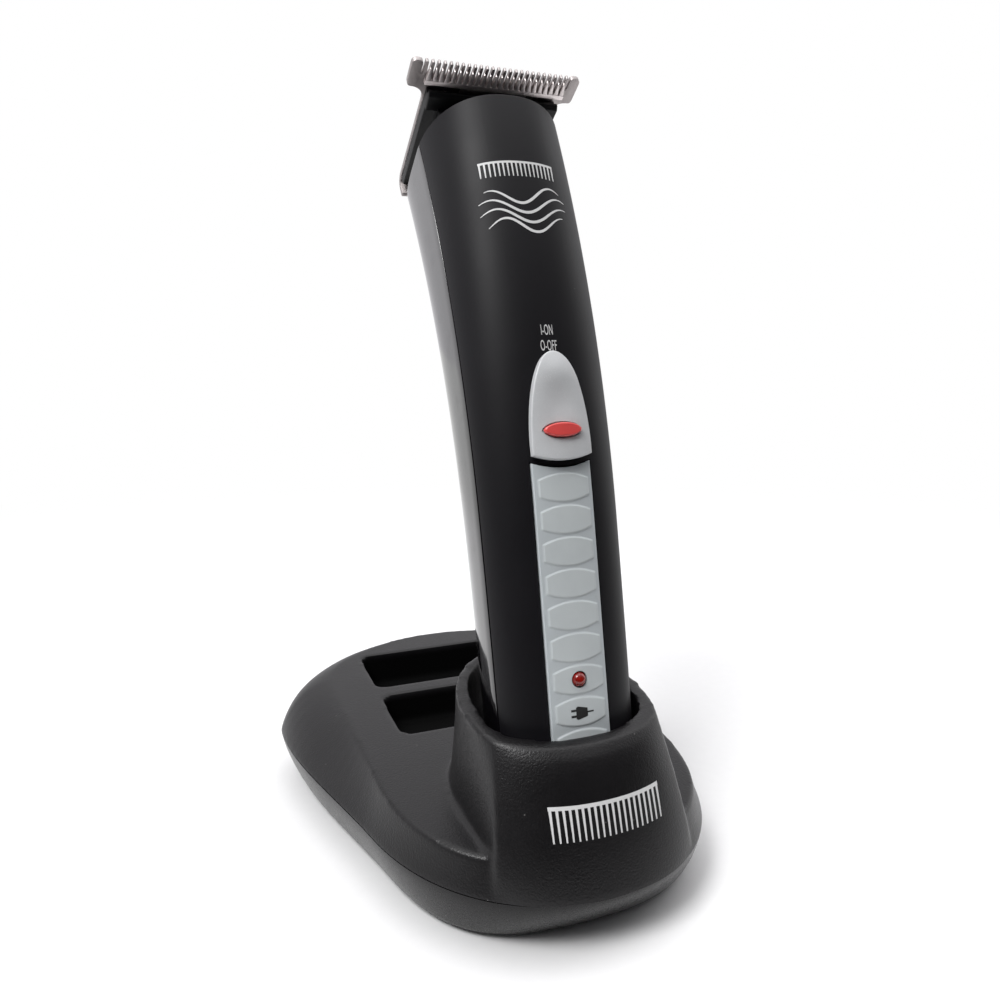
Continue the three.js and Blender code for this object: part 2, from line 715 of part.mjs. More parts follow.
function jackOpening(grow) {
  const middle = (JACK.z0 + JACK.z1) / 2;
  const geometry = new THREE.CylinderGeometry(JACK.noseRadius + grow, JACK.noseRadius + grow, 20, 20);
  geometry.translate(0, JACK.rear + 10, middle);
  return solidOf(geometry);
}

function buildStandPan() {
  let pan = panForm(0, FOOT_HEIGHT, 0).subtract(panForm(PAN_WALL, FOOT_HEIGHT + PAN_WALL, PARTING_Z + 10));
  for (const [x, y] of STAND_SCREWS) {
    pan = pan.add(roundBar(BOSS_RADIUS, x, y, FOOT_HEIGHT + 1, BOSS_Z - GAP, 16));
  }
  for (const [x, y] of BOARD_POSTS) {
    pan = pan.add(roundBar(BOARD_POST_RADIUS, x, y, FOOT_HEIGHT + 1, STAND_BOARD.z0 - GAP, 12));
  }
  for (const [x, y] of STAND_SCREWS) {
    pan = pan.subtract(roundBar(STAND_SCREW_RADIUS + GAP, x, y, 0, BOSS_Z, 12));
    pan = pan.subtract(roundBar(STAND_SCREW_HEAD + GAP, x, y, 0, STAND_SCREW_HEAD_Z + GAP, 16));
  }
  for (const [x, y] of STAND_FEET) {
    pan = pan.subtract(roundBar(FOOT_RADIUS + GAP, x, y, 0, FOOT_HEIGHT + FOOT_SUNK + GAP, 18));
  }
  return pan.subtract(jackOpening(GAP));
}

function buildJack() {
  const middle = (JACK.z0 + JACK.z1) / 2;
  const nose = new THREE.CylinderGeometry(JACK.noseRadius, JACK.noseRadius, JACK.nose - JACK.rear + 1, 20);
  nose.translate(0, (JACK.nose + JACK.rear - 1) / 2, middle);
  const bore = new THREE.CylinderGeometry(JACK.bore, JACK.bore, 2 * JACK.depth, 16);
  bore.translate(0, JACK.nose, middle);
  return boxSolid(-JACK.halfWidth, JACK.halfWidth, JACK.front, JACK.rear, JACK.z0, JACK.z1)
    .add(solidOf(nose))
    .subtract(solidOf(bore));
}

/** A pan-headed screw standing on z, head at the bottom. */
function screwSolid(radius, headRadius, headZ0, headZ1, tipZ, x, y) {
  const shank = roundBar(radius, x, y, headZ1 - 0.1, tipZ, 12);
  const head = roundBar(headRadius, x, y, headZ0, headZ1, 16);
  const slotHalf = headRadius * 0.7;
  const slotDepth = (headZ1 - headZ0) * 0.45;
  const crossA = boxSolid(x - slotHalf, x + slotHalf, y - 0.3, y + 0.3, headZ0 - 1, headZ0 + slotDepth);
  const crossB = boxSolid(x - 0.3, x + 0.3, y - slotHalf, y + slotHalf, headZ0 - 1, headZ0 + slotDepth);
  return shank.add(head).subtract(crossA.add(crossB));
}

function buildStand() {
  addPiece('stand_top_shell', buildStandTopShell(), FINISH.standShell);
  addPiece('stand_bottom_pan', buildStandPan(), FINISH.pan);
  addPiece('dc_inlet_jack', buildJack(), FINISH.blackPlastic);
  STAND_FEET.forEach(([x, y], i) => {
    const foot = roundBar(FOOT_RADIUS, x, y, 0, FOOT_HEIGHT + FOOT_SUNK, 18);
    addPiece(`rubber_foot_${i + 1}`, foot, FINISH.rubber);
  });
  STAND_SCREWS.forEach(([x, y], i) => {
    const screw = screwSolid(STAND_SCREW_RADIUS, STAND_SCREW_HEAD, FOOT_HEIGHT + 0.5, STAND_SCREW_HEAD_Z,
      BOSS_BORE_TOP - 1, x, y);
    addPiece(`stand_screw_${i + 1}`, screw, FINISH.steel);
  });
  const { halfWidth, front, rear, z0, z1 } = STAND_BOARD;
  addPiece('stand_circuit_board', boxSolid(-halfWidth, halfWidth, front, rear, z0, z1), FINISH.board);

  let block = inLower(boxSolid(-BLOCK_HALF_WIDTH, BLOCK_HALF_WIDTH, CONTACT_DEPTH - BLOCK_HALF_DEPTH,
    CONTACT_DEPTH + BLOCK_HALF_DEPTH, BLOCK_TOP - BLOCK_HEIGHT, BLOCK_TOP));
  for (const side of [LEFT, RIGHT]) block = block.subtract(pinBore(side));
  block = block.subtract(boxSolid(-FAR, FAR, -FAR, FAR, -FAR, STAND_BOARD.z1 + GAP));
  addPiece('contact_block', block, FINISH.whitePlastic);
}

/** The two sprung pins that touch the contact plates under the handpiece. */
function buildChargePins() {
  const tips = { [LEFT]: 'charge_pin_left', [RIGHT]: 'charge_pin_right' };
  for (const side of [LEFT, RIGHT]) {
    const group = groupAt(LOWER_FRAME);
    const profile = [
      new THREE.Vector2(0, -PIN_LENGTH),
      new THREE.Vector2(PIN_RADIUS, -PIN_LENGTH),
      new THREE.Vector2(PIN_RADIUS, -GAP - PIN_SHOULDER),
      new THREE.Vector2(PIN_RADIUS * 0.7, -GAP - 0.2),
      new THREE.Vector2(0, -GAP),
    ];
    const geometry = new THREE.LatheGeometry(profile, 14);
    geometry.rotateX(Math.PI / 2);
    const solid = solidOf(geometry);
    const pin = addPiece(tips[side], solid, FINISH.nickel, group);
    pin.position.set(side * CONTACT_X, CONTACT_DEPTH, 0);
  }
}

// ---------- handpiece ----------
const SWITCH_STATION = SWITCH_AT + MARK_AT;
const SWITCH_FRAME = frontFrame(SWITCH_STATION);
const BODY_SCREWS = [6.5, 68];
const BODY_SCREW_HEAD = 2.2;
const BODY_SCREW_SUNK = 0.7;     // below the rear surface
const BODY_SCREW_HEIGHT = 1.4;
const BODY_SCREW_RECESS = 2.4;
const BOSS_FRONT_RADIUS = 2.3;
const SLEEVE_RADIUS = 2.9;
const BOSS_END = 15;             // the front shell's boss reaches this far back

function inSwitch(solid) {
  return placed(solid, SWITCH_FRAME);
}

/** The space beyond the handpiece's open upper end, from a depth under the blade plane outwards. */
function beyondMouth(depth) {
  return inHead(boxSolid(-FAR, FAR, -FAR, FAR, -FAR, depth));
}

/** An outline in x and height pushed through the front wall. */
function frontPrism(shape, matrix) {
  const geometry = new THREE.ExtrudeGeometry(shape, { depth: 16, bevelEnabled: false, curveSegments: 8 });
  geometry.rotateX(Math.PI / 2);
  geometry.translate(0, 8, 0);
  return placed(solidOf(geometry), matrix);
}

/** Grip strip outline: straight sides, the top edge hollowed to follow the button. */
function stripOutline(grow) {
  const half = STRIP_HALF_WIDTH + grow;
  const shape = new THREE.Shape();
  shape.moveTo(-half, STRIP_START - grow);
  shape.lineTo(half, STRIP_START - grow);
  shape.lineTo(half, STRIP_END + grow);
  shape.quadraticCurveTo(0, STRIP_END + grow - 2 * EDGE_SAG, -half, STRIP_END + grow);
  shape.closePath();
  return shape;
}

function buttonOutline() {
  const half = STRIP_HALF_WIDTH;
  const low = -MARK_AT;
  const top = SWITCH_LENGTH - MARK_AT;
  const shape = new THREE.Shape();
  shape.moveTo(-half, low);
  shape.quadraticCurveTo(0, low - 2 * EDGE_SAG, half, low);
  const belly = half + BUTTON_BELLY;
  shape.bezierCurveTo(belly, low + SWITCH_LENGTH * 0.45, half * 0.7, top, 0, top);
  shape.bezierCurveTo(-half * 0.7, top, -belly, low + SWITCH_LENGTH * 0.45, -half, low);
  return shape;
}

/** A lens outline: two arcs meeting in a point at each side. */
function lensOutline(half, rise) {
  const shape = new THREE.Shape();
  shape.moveTo(-half, 0);
  shape.quadraticCurveTo(0, -2 * rise, half, 0);
  shape.quadraticCurveTo(0, 2 * rise, -half, 0);
  return shape;
}

/** A bar through the body at station s of the straight part, running front to back. */
function throughBar(radius, s, x, d0, d1, facets = 16) {
  const geometry = new THREE.CylinderGeometry(radius, radius, d1 - d0, facets);
  geometry.translate(x, (d0 + d1) / 2, s);
  return inLower(solidOf(geometry));
}

function screwFloor(s) {
  return bodySection(s).depth - (s > STRAIGHT_LENGTH ? (s - STRAIGHT_LENGTH) ** 2 / (2 * BEND_RADIUS) : 0);
}

function buildShells() {
  const whole = bodyForm(0).subtract(bodyForm(-SHELL_WALL, SHELL_WALL)).subtract(beyondMouth(MOUTH_DEPTH));
  let front = whole.intersect(seamRegion(-GAP / 2));
  let rear = whole.subtract(seamRegion(GAP / 2));

  const pocket = bodyForm(5).subtract(bodyForm(-STRIP_DEPTH - GAP)).intersect(
    frontPrism(stripOutline(GAP), LOWER_FRAME));
  front = front.subtract(pocket);
  front = front.subtract(throughBar(LED_RADIUS + GAP, LED_AT, 0, -5, 6));
  front = front.subtract(inSwitch(boxSolid(-STEM_HALF_WIDTH - GAP, STEM_HALF_WIDTH + GAP, -4, 6,
    -STEM_HALF_LENGTH - GAP, STEM_HALF_LENGTH + SWITCH_TRAVEL + GAP)));

  for (const s of BODY_SCREWS) {
    const depth = screwFloor(s);
    front = front.add(throughBar(BOSS_FRONT_RADIUS, s, 0, SHELL_WALL - 0.6, BOSS_END));
    front = front.subtract(throughBar(SCREW_RADIUS + GAP, s, 0, SHELL_WALL + 1, BOSS_END + 1, 12));
    rear = rear.add(throughBar(SLEEVE_RADIUS, s, 0, BOSS_END + GAP, depth - 0.6));
    rear = rear.subtract(throughBar(SCREW_RADIUS + GAP, s, 0, BOSS_END - 1, depth + 3, 12));
    rear = rear.subtract(throughBar(BODY_SCREW_HEAD + GAP, s, 0, depth - BODY_SCREW_RECESS, depth + 3, 16));
  }
  for (const side of [LEFT, RIGHT]) {
    rear = rear.subtract(inLower(
      roundBar(CONTACT_RADIUS + GAP, side * CONTACT_X, CONTACT_DEPTH, -3, SHELL_WALL + 1, 20)));
  }
  addPiece('front_shell', front, FINISH.frontShell);
  addPiece('rear_shell', rear, FINISH.rearShell);
}

function buildFace() {
  const strip = bodyForm(STRIP_PROUD).subtract(bodyForm(-STRIP_DEPTH))
    .intersect(frontPrism(stripOutline(0), LOWER_FRAME))
    .subtract(throughBar(LED_RADIUS + GAP, LED_AT, 0, -5, 6));
  addPiece('grip_strip', strip, FINISH.strip);

  const lampGroup = groupAt(LOWER_FRAME);
  const top = STRIP_PROUD + LED_PROUD;
  const foot = -BOARD_DEPTH + GAP;
  const profile = [new THREE.Vector2(0, foot), new THREE.Vector2(LED_RADIUS, foot)];
  for (let i = 0; i <= 4; i += 1) {
    const angle = i * Math.PI / 8;
    const x = i === 4 ? 0 : LED_RADIUS * Math.cos(angle);
    profile.push(new THREE.Vector2(x, top - LED_RADIUS + LED_RADIUS * Math.sin(angle)));
  }
  const lamp = addPiece('charge_led', solidOf(new THREE.LatheGeometry(profile, 16)), FINISH.lamp, lampGroup);
  lamp.position.set(0, 0, LED_AT);
  lamp.rotation.x = Math.PI;

  for (const side of [LEFT, RIGHT]) {
    const plate = roundBar(CONTACT_RADIUS, side * CONTACT_X, CONTACT_DEPTH, 0, CONTACT_THICKNESS, 20);
    addPiece(side < 0 ? 'contact_plate_left' : 'contact_plate_right', inLower(plate), FINISH.brass);
  }
}

function buildSwitch() {
  const skin = bodyForm(SWITCH_LIFT + SWITCH_THICKNESS, 40, false).subtract(bodyForm(SWITCH_LIFT, 38, false));
  const seat = bodyForm(SWITCH_LIFT + SWITCH_THICKNESS + 4, 40, false)
    .subtract(bodyForm(SWITCH_LIFT + SWITCH_THICKNESS - MARK_SEAT, 38, false));
  const outline = frontPrism(buttonOutline(), SWITCH_FRAME);
  const markRoom = lensOutline(MARK_HALF_WIDTH + GAP, MARK_HALF_HEIGHT + GAP);
  const markHole = seat.intersect(frontPrism(markRoom, SWITCH_FRAME));
  const stem = inSwitch(boxSolid(-STEM_HALF_WIDTH, STEM_HALF_WIDTH, -SWITCH_LIFT - 1, STEM_REACH,
    -STEM_HALF_LENGTH, STEM_HALF_LENGTH));
  addPiece('switch_button', skin.intersect(outline).add(stem).subtract(markHole), FINISH.button);

  const mark = bodyForm(SWITCH_LIFT + SWITCH_THICKNESS + MARK_PROUD, 40, false)
    .subtract(bodyForm(SWITCH_LIFT + SWITCH_THICKNESS - MARK_SEAT + GAP, 38, false))
    .intersect(frontPrism(lensOutline(MARK_HALF_WIDTH, MARK_HALF_HEIGHT), SWITCH_FRAME));
  addPiece('switch_mark', mark, FINISH.mark);

  const channel = boxSolid(-STEM_HALF_WIDTH - 2 * GAP, STEM_HALF_WIDTH + 2 * GAP, 0, STEM_REACH + 0.4,
    -STEM_HALF_LENGTH - 2 * GAP, STEM_HALF_LENGTH + SWITCH_TRAVEL + 2 * GAP);
  const unit = boxSolid(-UNIT.halfWidth, UNIT.halfWidth, SHELL_WALL + 0.8, UNIT.rear, UNIT.low, UNIT.high)
    .subtract(channel);
  addPiece('slide_switch_unit', inSwitch(unit), FINISH.blackPlastic);
}

function buildPower() {
  const cellDepth = BOARD_DEPTH + BOARD_THICKNESS + 0.8 + CELL_RADIUS;
  const cellEnd = CELL_AT + CELL_LENGTH;
  const cell = roundBar(CELL_RADIUS, 0, cellDepth, CELL_AT, cellEnd, 24)
    .add(roundBar(CELL_BUTTON_RADIUS, 0, cellDepth, cellEnd - 0.1, cellEnd + CELL_BUTTON_HEIGHT, 16));
  addPiece('battery_cell', inLower(cell), FINISH.cellWrap);
  const tabSpan = [-TAB_HALF_WIDTH, TAB_HALF_WIDTH, cellDepth - TAB_HALF_WIDTH, cellDepth + TAB_HALF_WIDTH];
  const lowTab = boxSolid(...tabSpan, CELL_AT - GAP - TAB_LOW_THICKNESS, CELL_AT - GAP);
  addPiece('battery_tab_negative', inLower(lowTab), FINISH.nickel);
  const highZ = cellEnd + CELL_BUTTON_HEIGHT + GAP;
  const highTab = boxSolid(...tabSpan, highZ, highZ + TAB_HIGH_THICKNESS);
  addPiece('battery_tab_positive', inLower(highTab), FINISH.nickel);

  let board = boxSolid(-BOARD_HALF_WIDTH, BOARD_HALF_WIDTH, BOARD_DEPTH, BOARD_DEPTH + BOARD_THICKNESS,
    BOARD_START, BOARD_END);
  board = inLower(board);
  for (const s of BODY_SCREWS) board = board.subtract(throughBar(BOSS_FRONT_RADIUS + GAP, s, 0, 0, BOSS_END));
  addPiece('circuit_board', board, FINISH.board);

  BODY_SCREWS.forEach((s, i) => {
    const depth = screwFloor(s);
    const shank = throughBar(SCREW_RADIUS, s, 0, SHELL_WALL + 3, depth - 2, 12);
    const top = depth - BODY_SCREW_SUNK;
    const head = throughBar(BODY_SCREW_HEAD, s, 0, top - BODY_SCREW_HEIGHT, top, 16);
    const slot = inLower(boxSolid(-1.6, 1.6, top - 0.5, depth + 3, s - 0.3, s + 0.3));
    addPiece(`body_screw_${i + 1}`, shank.add(head).subtract(slot), FINISH.steel);
  });
}

// ---------- drive ----------
function buildMotor() {
  const back = MOTOR_DEPTH + MOTOR_LENGTH;
  const nose = roundBar(MOTOR_NOSE_RADIUS, 0, DRIVE_U, MOTOR_DEPTH - MOTOR_NOSE_LENGTH, MOTOR_DEPTH + 1, 20);
  const can = roundBar(MOTOR_RADIUS, 0, DRIVE_U, MOTOR_DEPTH, back, 32)
    .add(nose)
    .subtract(roundBar(SHAFT_RADIUS + GAP, 0, DRIVE_U, MOTOR_DEPTH - 3, MOTOR_DEPTH + 5, 16));
  addPiece('motor_can', inHead(can), FINISH.steel);
  const cap = roundBar(MOTOR_RADIUS - 0.4, 0, DRIVE_U, back + GAP, back + GAP + MOTOR_CAP, 32);
  addPiece('motor_end_cap', inHead(cap), FINISH.whitePlastic);

  addPiece('motor_shaft',
    inHead(roundBar(SHAFT_RADIUS, 0, DRIVE_U, SHAFT_FRONT, MOTOR_DEPTH + 4.5, 16)), FINISH.steel);
  const cam = roundBar(CAM_RADIUS, 0, DRIVE_U, CAM_FRONT, CAM_BACK, 24)
    .add(roundBar(CRANK_PIN_RADIUS, 0, DRIVE_U + STROKE, CRANK_FRONT, CAM_FRONT + 0.5, 12))
    .subtract(roundBar(SHAFT_RADIUS + GAP, 0, DRIVE_U, SHAFT_FRONT - GAP, CAM_BACK + 0.5, 16));
  addPiece('eccentric_cam', inHead(cam), FINISH.whitePlastic);
}

const LUG_INNER_X = 8.6;
const LUG_OUTER_X = 11;
const LUG_RADIUS = 2.2;
const CHASSIS_DEPTH = 11;
const CHASSIS_THICKNESS = 2;

/** Black frame that closes the mouth, holds the motor and carries the hinge of the blade head. */
function buildChassis() {
  const slab = inHead(boxSolid(-FAR, FAR, -FAR, FAR, CHASSIS_DEPTH, CHASSIS_DEPTH + CHASSIS_THICKNESS));
  let chassis = bodyForm(-SHELL_WALL - GAP, 100, false).intersect(slab);
  const ring = roundBar(MOTOR_RADIUS + MOTOR_HOLD, 0, DRIVE_U, CHASSIS_DEPTH + 1, MOTOR_DEPTH + 3, 32);
  chassis = chassis.add(inHead(ring));
  for (const side of [LEFT, RIGHT]) {
    const x0 = side < 0 ? -LUG_OUTER_X : LUG_INNER_X;
    const x1 = side < 0 ? -LUG_INNER_X : LUG_OUTER_X;
    const lug = crossBar(LUG_RADIUS, x0, x1, HINGE_U, HINGE_DEPTH)
      .add(boxSolid(x0, x1, HINGE_U - LUG_RADIUS, HINGE_U + LUG_RADIUS, HINGE_DEPTH, CHASSIS_DEPTH + 1));
    chassis = chassis.add(inHead(lug));
  }
  const seat = MOTOR_DEPTH - MOTOR_NOSE_LENGTH - GAP;
  chassis = chassis.subtract(inHead(roundBar(MOTOR_RADIUS + GAP, 0, DRIVE_U, seat, FAR, 32)));
  chassis = chassis.subtract(inHead(roundBar(CAM_RADIUS + CAM_ROOM, 0, DRIVE_U, 0, FAR, 24)));
  chassis = chassis.subtract(inHead(
    crossBar(HINGE_PIN_RADIUS + GAP, -FAR, FAR, HINGE_U, HINGE_DEPTH)));
  addPiece('head_chassis', chassis, FINISH.blackPlastic);
  const pin = crossBar(HINGE_PIN_RADIUS, -LUG_OUTER_X, LUG_OUTER_X, HINGE_U, HINGE_DEPTH);
  addPiece('head_hinge_pin', inHead(pin), FINISH.steel);
}

// ---------- blade head ----------
/** Zigzag of teeth along a blade's front edge, from right to left, each tooth slightly tapered. */
function addTeeth(shape, count, tipU, rootU) {
  const start = (count - 1) / 2 * TOOTH_PITCH;
  for (let i = 0; i < count; i += 1) {
    const x = start - i * TOOTH_PITCH;
    shape.lineTo(x + TOOTH_ROOT / 2, rootU);
    shape.lineTo(x + TOOTH_TIP / 2, tipU);
    shape.lineTo(x - TOOTH_TIP / 2, tipU);
    shape.lineTo(x - TOOTH_ROOT / 2, rootU);
  }
}

function plate(shape, z0, z1) {
  const settings = { depth: z1 - z0, bevelEnabled: false, curveSegments: 4 };
  const geometry = new THREE.ExtrudeGeometry(shape, settings);
  geometry.translate(0, 0, z0);
  return solidOf(geometry);
}

function fixedCombOutline() {
  const rootU = BLADE_LENGTH - TOOTH_LENGTH;
  const teeU = BLADE_LENGTH - TEE_DEPTH;
  const postInner = TOOTH_COUNT / 2 * TOOTH_PITCH + POST_GAP;
  const flare = TEE_HALF_WIDTH - NECK_HALF_WIDTH - BLADE_CORNER;
  const shape = new THREE.Shape();
  shape.moveTo(-NECK_HALF_WIDTH, 0);
  shape.lineTo(NECK_HALF_WIDTH, 0);
  shape.lineTo(NECK_HALF_WIDTH, teeU - flare);
  shape.quadraticCurveTo(NECK_HALF_WIDTH, teeU, TEE_HALF_WIDTH - BLADE_CORNER, teeU);
  shape.lineTo(TEE_HALF_WIDTH, teeU + 1);
  shape.lineTo(TEE_HALF_WIDTH, BLADE_LENGTH - BLADE_CORNER);
  shape.lineTo(TEE_HALF_WIDTH - BLADE_CORNER, BLADE_LENGTH);
  shape.lineTo(postInner, BLADE_LENGTH);
  shape.lineTo(postInner, rootU);
  addTeeth(shape, TOOTH_COUNT, BLADE_LENGTH, rootU);
  shape.lineTo(-postInner, rootU);
  shape.lineTo(-postInner, BLADE_LENGTH);
  shape.lineTo(-TEE_HALF_WIDTH + BLADE_CORNER, BLADE_LENGTH);
  shape.lineTo(-TEE_HALF_WIDTH, BLADE_LENGTH - BLADE_CORNER);
  shape.lineTo(-TEE_HALF_WIDTH, teeU + 1);
  shape.lineTo(-TEE_HALF_WIDTH + BLADE_CORNER, teeU);
  shape.quadraticCurveTo(-NECK_HALF_WIDTH, teeU, -NECK_HALF_WIDTH, teeU - flare);
  shape.closePath();
  return shape;
}

/** The heel: the plate's rear edge rolled inwards, seen from the side as a hook. */
function heelCurl() {
  const bend = HEEL_BEND;
  const shape = new THREE.Shape();
  shape.moveTo(bend, 0);
  shape.absarc(bend, bend, bend, -Math.PI / 2, -Math.PI, true);
  shape.lineTo(0, HEEL_CURL);
  shape.lineTo(BLADE_THICKNESS, HEEL_CURL);
  shape.lineTo(BLADE_THICKNESS, bend);
  shape.absarc(bend, bend, bend - BLADE_THICKNESS, Math.PI, 1.5 * Math.PI, false);
  shape.closePath();
  const geometry = new THREE.ExtrudeGeometry(shape, {
    depth: 2 * NECK_HALF_WIDTH, bevelEnabled: false, curveSegments: 5,
  });
  // the outline's (u, depth) plane becomes (Y, Z) and the extrusion runs along X
  geometry.applyMatrix4(new THREE.Matrix4().makeBasis(
    new THREE.Vector3(0, 1, 0), new THREE.Vector3(0, 0, 1), new THREE.Vector3(1, 0, 0)));
  geometry.translate(-NECK_HALF_WIDTH, 0, 0);
  return solidOf(geometry);
}

function cutterOutline() {
  const tipU = BLADE_LENGTH - CUTTER_SETBACK;
  const rootU = tipU - CUTTER_TOOTH_LENGTH;
  const count = TOOTH_COUNT - 1;
  const half = count / 2 * TOOTH_PITCH;
  const barU = HOLDER_END + 0.5;
  const shape = new THREE.Shape();
  shape.moveTo(-CUTTER_STEM_HALF_WIDTH, CUTTER_STEM_END);
  shape.lineTo(CUTTER_STEM_HALF_WIDTH, CUTTER_STEM_END);
  shape.lineTo(CUTTER_STEM_HALF_WIDTH, barU);
  shape.lineTo(half, barU);
  shape.lineTo(half, rootU);
  addTeeth(shape, count, tipU, rootU);
  shape.lineTo(-half, rootU);
  shape.lineTo(-half, barU);
  shape.lineTo(-CUTTER_STEM_HALF_WIDTH, barU);
  shape.closePath();
  return shape;
}

const CUTTER_Z0 = BLADE_THICKNESS + GAP;
const CUTTER_Z1 = CUTTER_Z0 + CUTTER_THICKNESS;
const HOLDER_FLOOR = CUTTER_Z1 + GAP;

function buildFixedComb() {
  let comb = plate(fixedCombOutline(), 0, BLADE_THICKNESS)
    .subtract(boxSolid(-FAR, FAR, -FAR, HEEL_BEND, -FAR, FAR))
    .add(heelCurl());
  for (const side of [LEFT, RIGHT]) {
    comb = comb.subtract(roundBar(SCREW_RADIUS + GAP, side * BLADE_SCREW_X, BLADE_SCREW_U, -1, 3, 16));
  }
  addPiece('fixed_comb_blade', inHead(comb), FINISH.steel);
}

function buildHolder() {
  const railX = CUTTER_STEM_HALF_WIDTH + STROKE + GAP;
  const windowX = YOKE_HALF_WIDTH + STROKE + 0.5;
  const windowU = YOKE_HALF_LENGTH + 0.4;
  let holder = boxSolid(-HOLDER_HALF_WIDTH, HOLDER_HALF_WIDTH, HOLDER_START, HOLDER_END,
    CUTTER_Z0, HOLDER_DEPTH);
  holder = holder.subtract(boxSolid(-railX, railX, 0, FAR, 0, HOLDER_FLOOR));
  const knuckleX = LUG_INNER_X - GAP;
  const knuckle = crossBar(HOLDER_DEPTH - HINGE_DEPTH, -knuckleX, knuckleX, HINGE_U, HINGE_DEPTH)
    .add(boxSolid(-knuckleX, knuckleX, HINGE_U, HOLDER_START + 0.5,
      2 * HINGE_DEPTH - HOLDER_DEPTH, HOLDER_DEPTH));
  holder = holder.add(knuckle);
  holder = holder.subtract(boxSolid(-windowX, windowX, DRIVE_U - windowU, DRIVE_U + windowU, 0, FAR));
  holder = holder.subtract(crossBar(HINGE_PIN_RADIUS + GAP, -FAR, FAR, HINGE_U, HINGE_DEPTH));
  for (const side of [LEFT, RIGHT]) {
    holder = holder.subtract(
      roundBar(SCREW_RADIUS + GAP, side * BLADE_SCREW_X, BLADE_SCREW_U, 0, HOLDER_DEPTH - 1, 12));
  }
  addPiece('blade_holder', inHead(holder), FINISH.blackPlastic);
}

function buildBladeFittings() {
  for (const side of [LEFT, RIGHT]) {
    const screw = screwSolid(SCREW_RADIUS, BLADE_SCREW_HEAD, -BLADE_SCREW_PROUD, -GAP, HOLDER_DEPTH - 2,
      side * BLADE_SCREW_X, BLADE_SCREW_U);
    addPiece(side < 0 ? 'blade_screw_left' : 'blade_screw_right', inHead(screw), FINISH.steel);
  }
  // leaf spring: rises from the rear of the comb plate to the back end of the cutter's stem
  const leaf = new THREE.Shape();
  leaf.moveTo(SPRING_START, SPRING_FLAT_DEPTH);
  leaf.lineTo(SPRING_FLAT_END, SPRING_FLAT_DEPTH);
  leaf.lineTo(SPRING_RIDGE_U, SPRING_RIDGE_DEPTH);
  leaf.lineTo(CUTTER_STEM_END - GAP, SPRING_TIP_DEPTH);
  leaf.lineTo(CUTTER_STEM_END - GAP, SPRING_TIP_DEPTH + SPRING_THICKNESS);
  leaf.lineTo(SPRING_RIDGE_U, SPRING_RIDGE_DEPTH + SPRING_THICKNESS);
  leaf.lineTo(SPRING_FLAT_END, SPRING_FLAT_DEPTH + SPRING_THICKNESS);
  leaf.lineTo(SPRING_START, SPRING_FLAT_DEPTH + SPRING_THICKNESS);
  leaf.closePath();
  const geometry = new THREE.ExtrudeGeometry(leaf, { depth: 2 * SPRING_HALF_WIDTH, bevelEnabled: false });
  geometry.applyMatrix4(new THREE.Matrix4().makeBasis(
    new THREE.Vector3(0, 1, 0), new THREE.Vector3(0, 0, 1), new THREE.Vector3(1, 0, 0)));
  geometry.translate(-SPRING_HALF_WIDTH, 0, 0);
  addPiece('cutter_tension_spring', inHead(solidOf(geometry)), FINISH.nickel);
}

function buildCutter() {
  addPiece('cutter_blade', inHead(plate(cutterOutline(), CUTTER_Z0, CUTTER_Z1)), FINISH.cutterSteel);
  const slot = STROKE * 2 + CRANK_PIN_RADIUS + 0.4;
  const yoke = boxSolid(-YOKE_HALF_WIDTH, YOKE_HALF_WIDTH,
    DRIVE_U - YOKE_HALF_LENGTH, DRIVE_U + YOKE_HALF_LENGTH, CUTTER_Z1 + GAP, HOLDER_DEPTH - GAP)
    .subtract(boxSolid(-slot, slot, DRIVE_U - slot, DRIVE_U + slot, 0, FAR));
  addPiece('drive_yoke', inHead(yoke), FINISH.whitePlastic);
}

buildStand();
buildChargePins();
buildShells();
buildFace();
buildSwitch();
buildPower();
buildMotor();
buildChassis();
buildFixedComb();
buildHolder();
buildBladeFittings();
buildCutter();

export default part;
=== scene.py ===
"""Finish of a cordless T-blade trimmer standing in its charging stand.

Sizes in this file are millimetres and become metres when a mesh is made. +Z is up, X = 0 is the plane of
symmetry, the switch side faces -Y, and the origin is on the ground under the middle of the stand.
"""

import math

import bmesh
import bpy
import numpy as np
from mathutils import Matrix
from mathutils.bvhtree import BVHTree


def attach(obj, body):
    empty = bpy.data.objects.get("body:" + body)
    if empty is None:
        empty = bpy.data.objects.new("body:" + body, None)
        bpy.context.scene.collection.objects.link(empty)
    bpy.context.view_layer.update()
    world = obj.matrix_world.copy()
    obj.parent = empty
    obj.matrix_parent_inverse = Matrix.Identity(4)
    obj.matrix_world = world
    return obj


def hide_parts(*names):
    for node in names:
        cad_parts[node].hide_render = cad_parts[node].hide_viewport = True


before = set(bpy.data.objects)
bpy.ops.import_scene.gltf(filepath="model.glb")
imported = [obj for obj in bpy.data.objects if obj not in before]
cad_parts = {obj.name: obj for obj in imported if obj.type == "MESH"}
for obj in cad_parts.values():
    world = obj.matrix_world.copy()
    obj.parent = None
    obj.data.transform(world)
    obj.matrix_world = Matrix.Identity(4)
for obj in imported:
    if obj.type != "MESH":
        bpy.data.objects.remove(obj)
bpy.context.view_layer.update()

bl_info = {
    "name": "Trimmer finish",
    "version": (1, 0, 0),
    "blender": (4, 5, 0),
    "location": "View3D > Sidebar > Trimmer",
    "description": "Builds the fine shells, blade, grip and stand of a cordless trimmer and lights them",
    "category": "Object",
}

MM = 0.001
GAP = 0.3                    # clearance between pieces that only touch
FAR = 200.0
SIDES = (-1, 1)

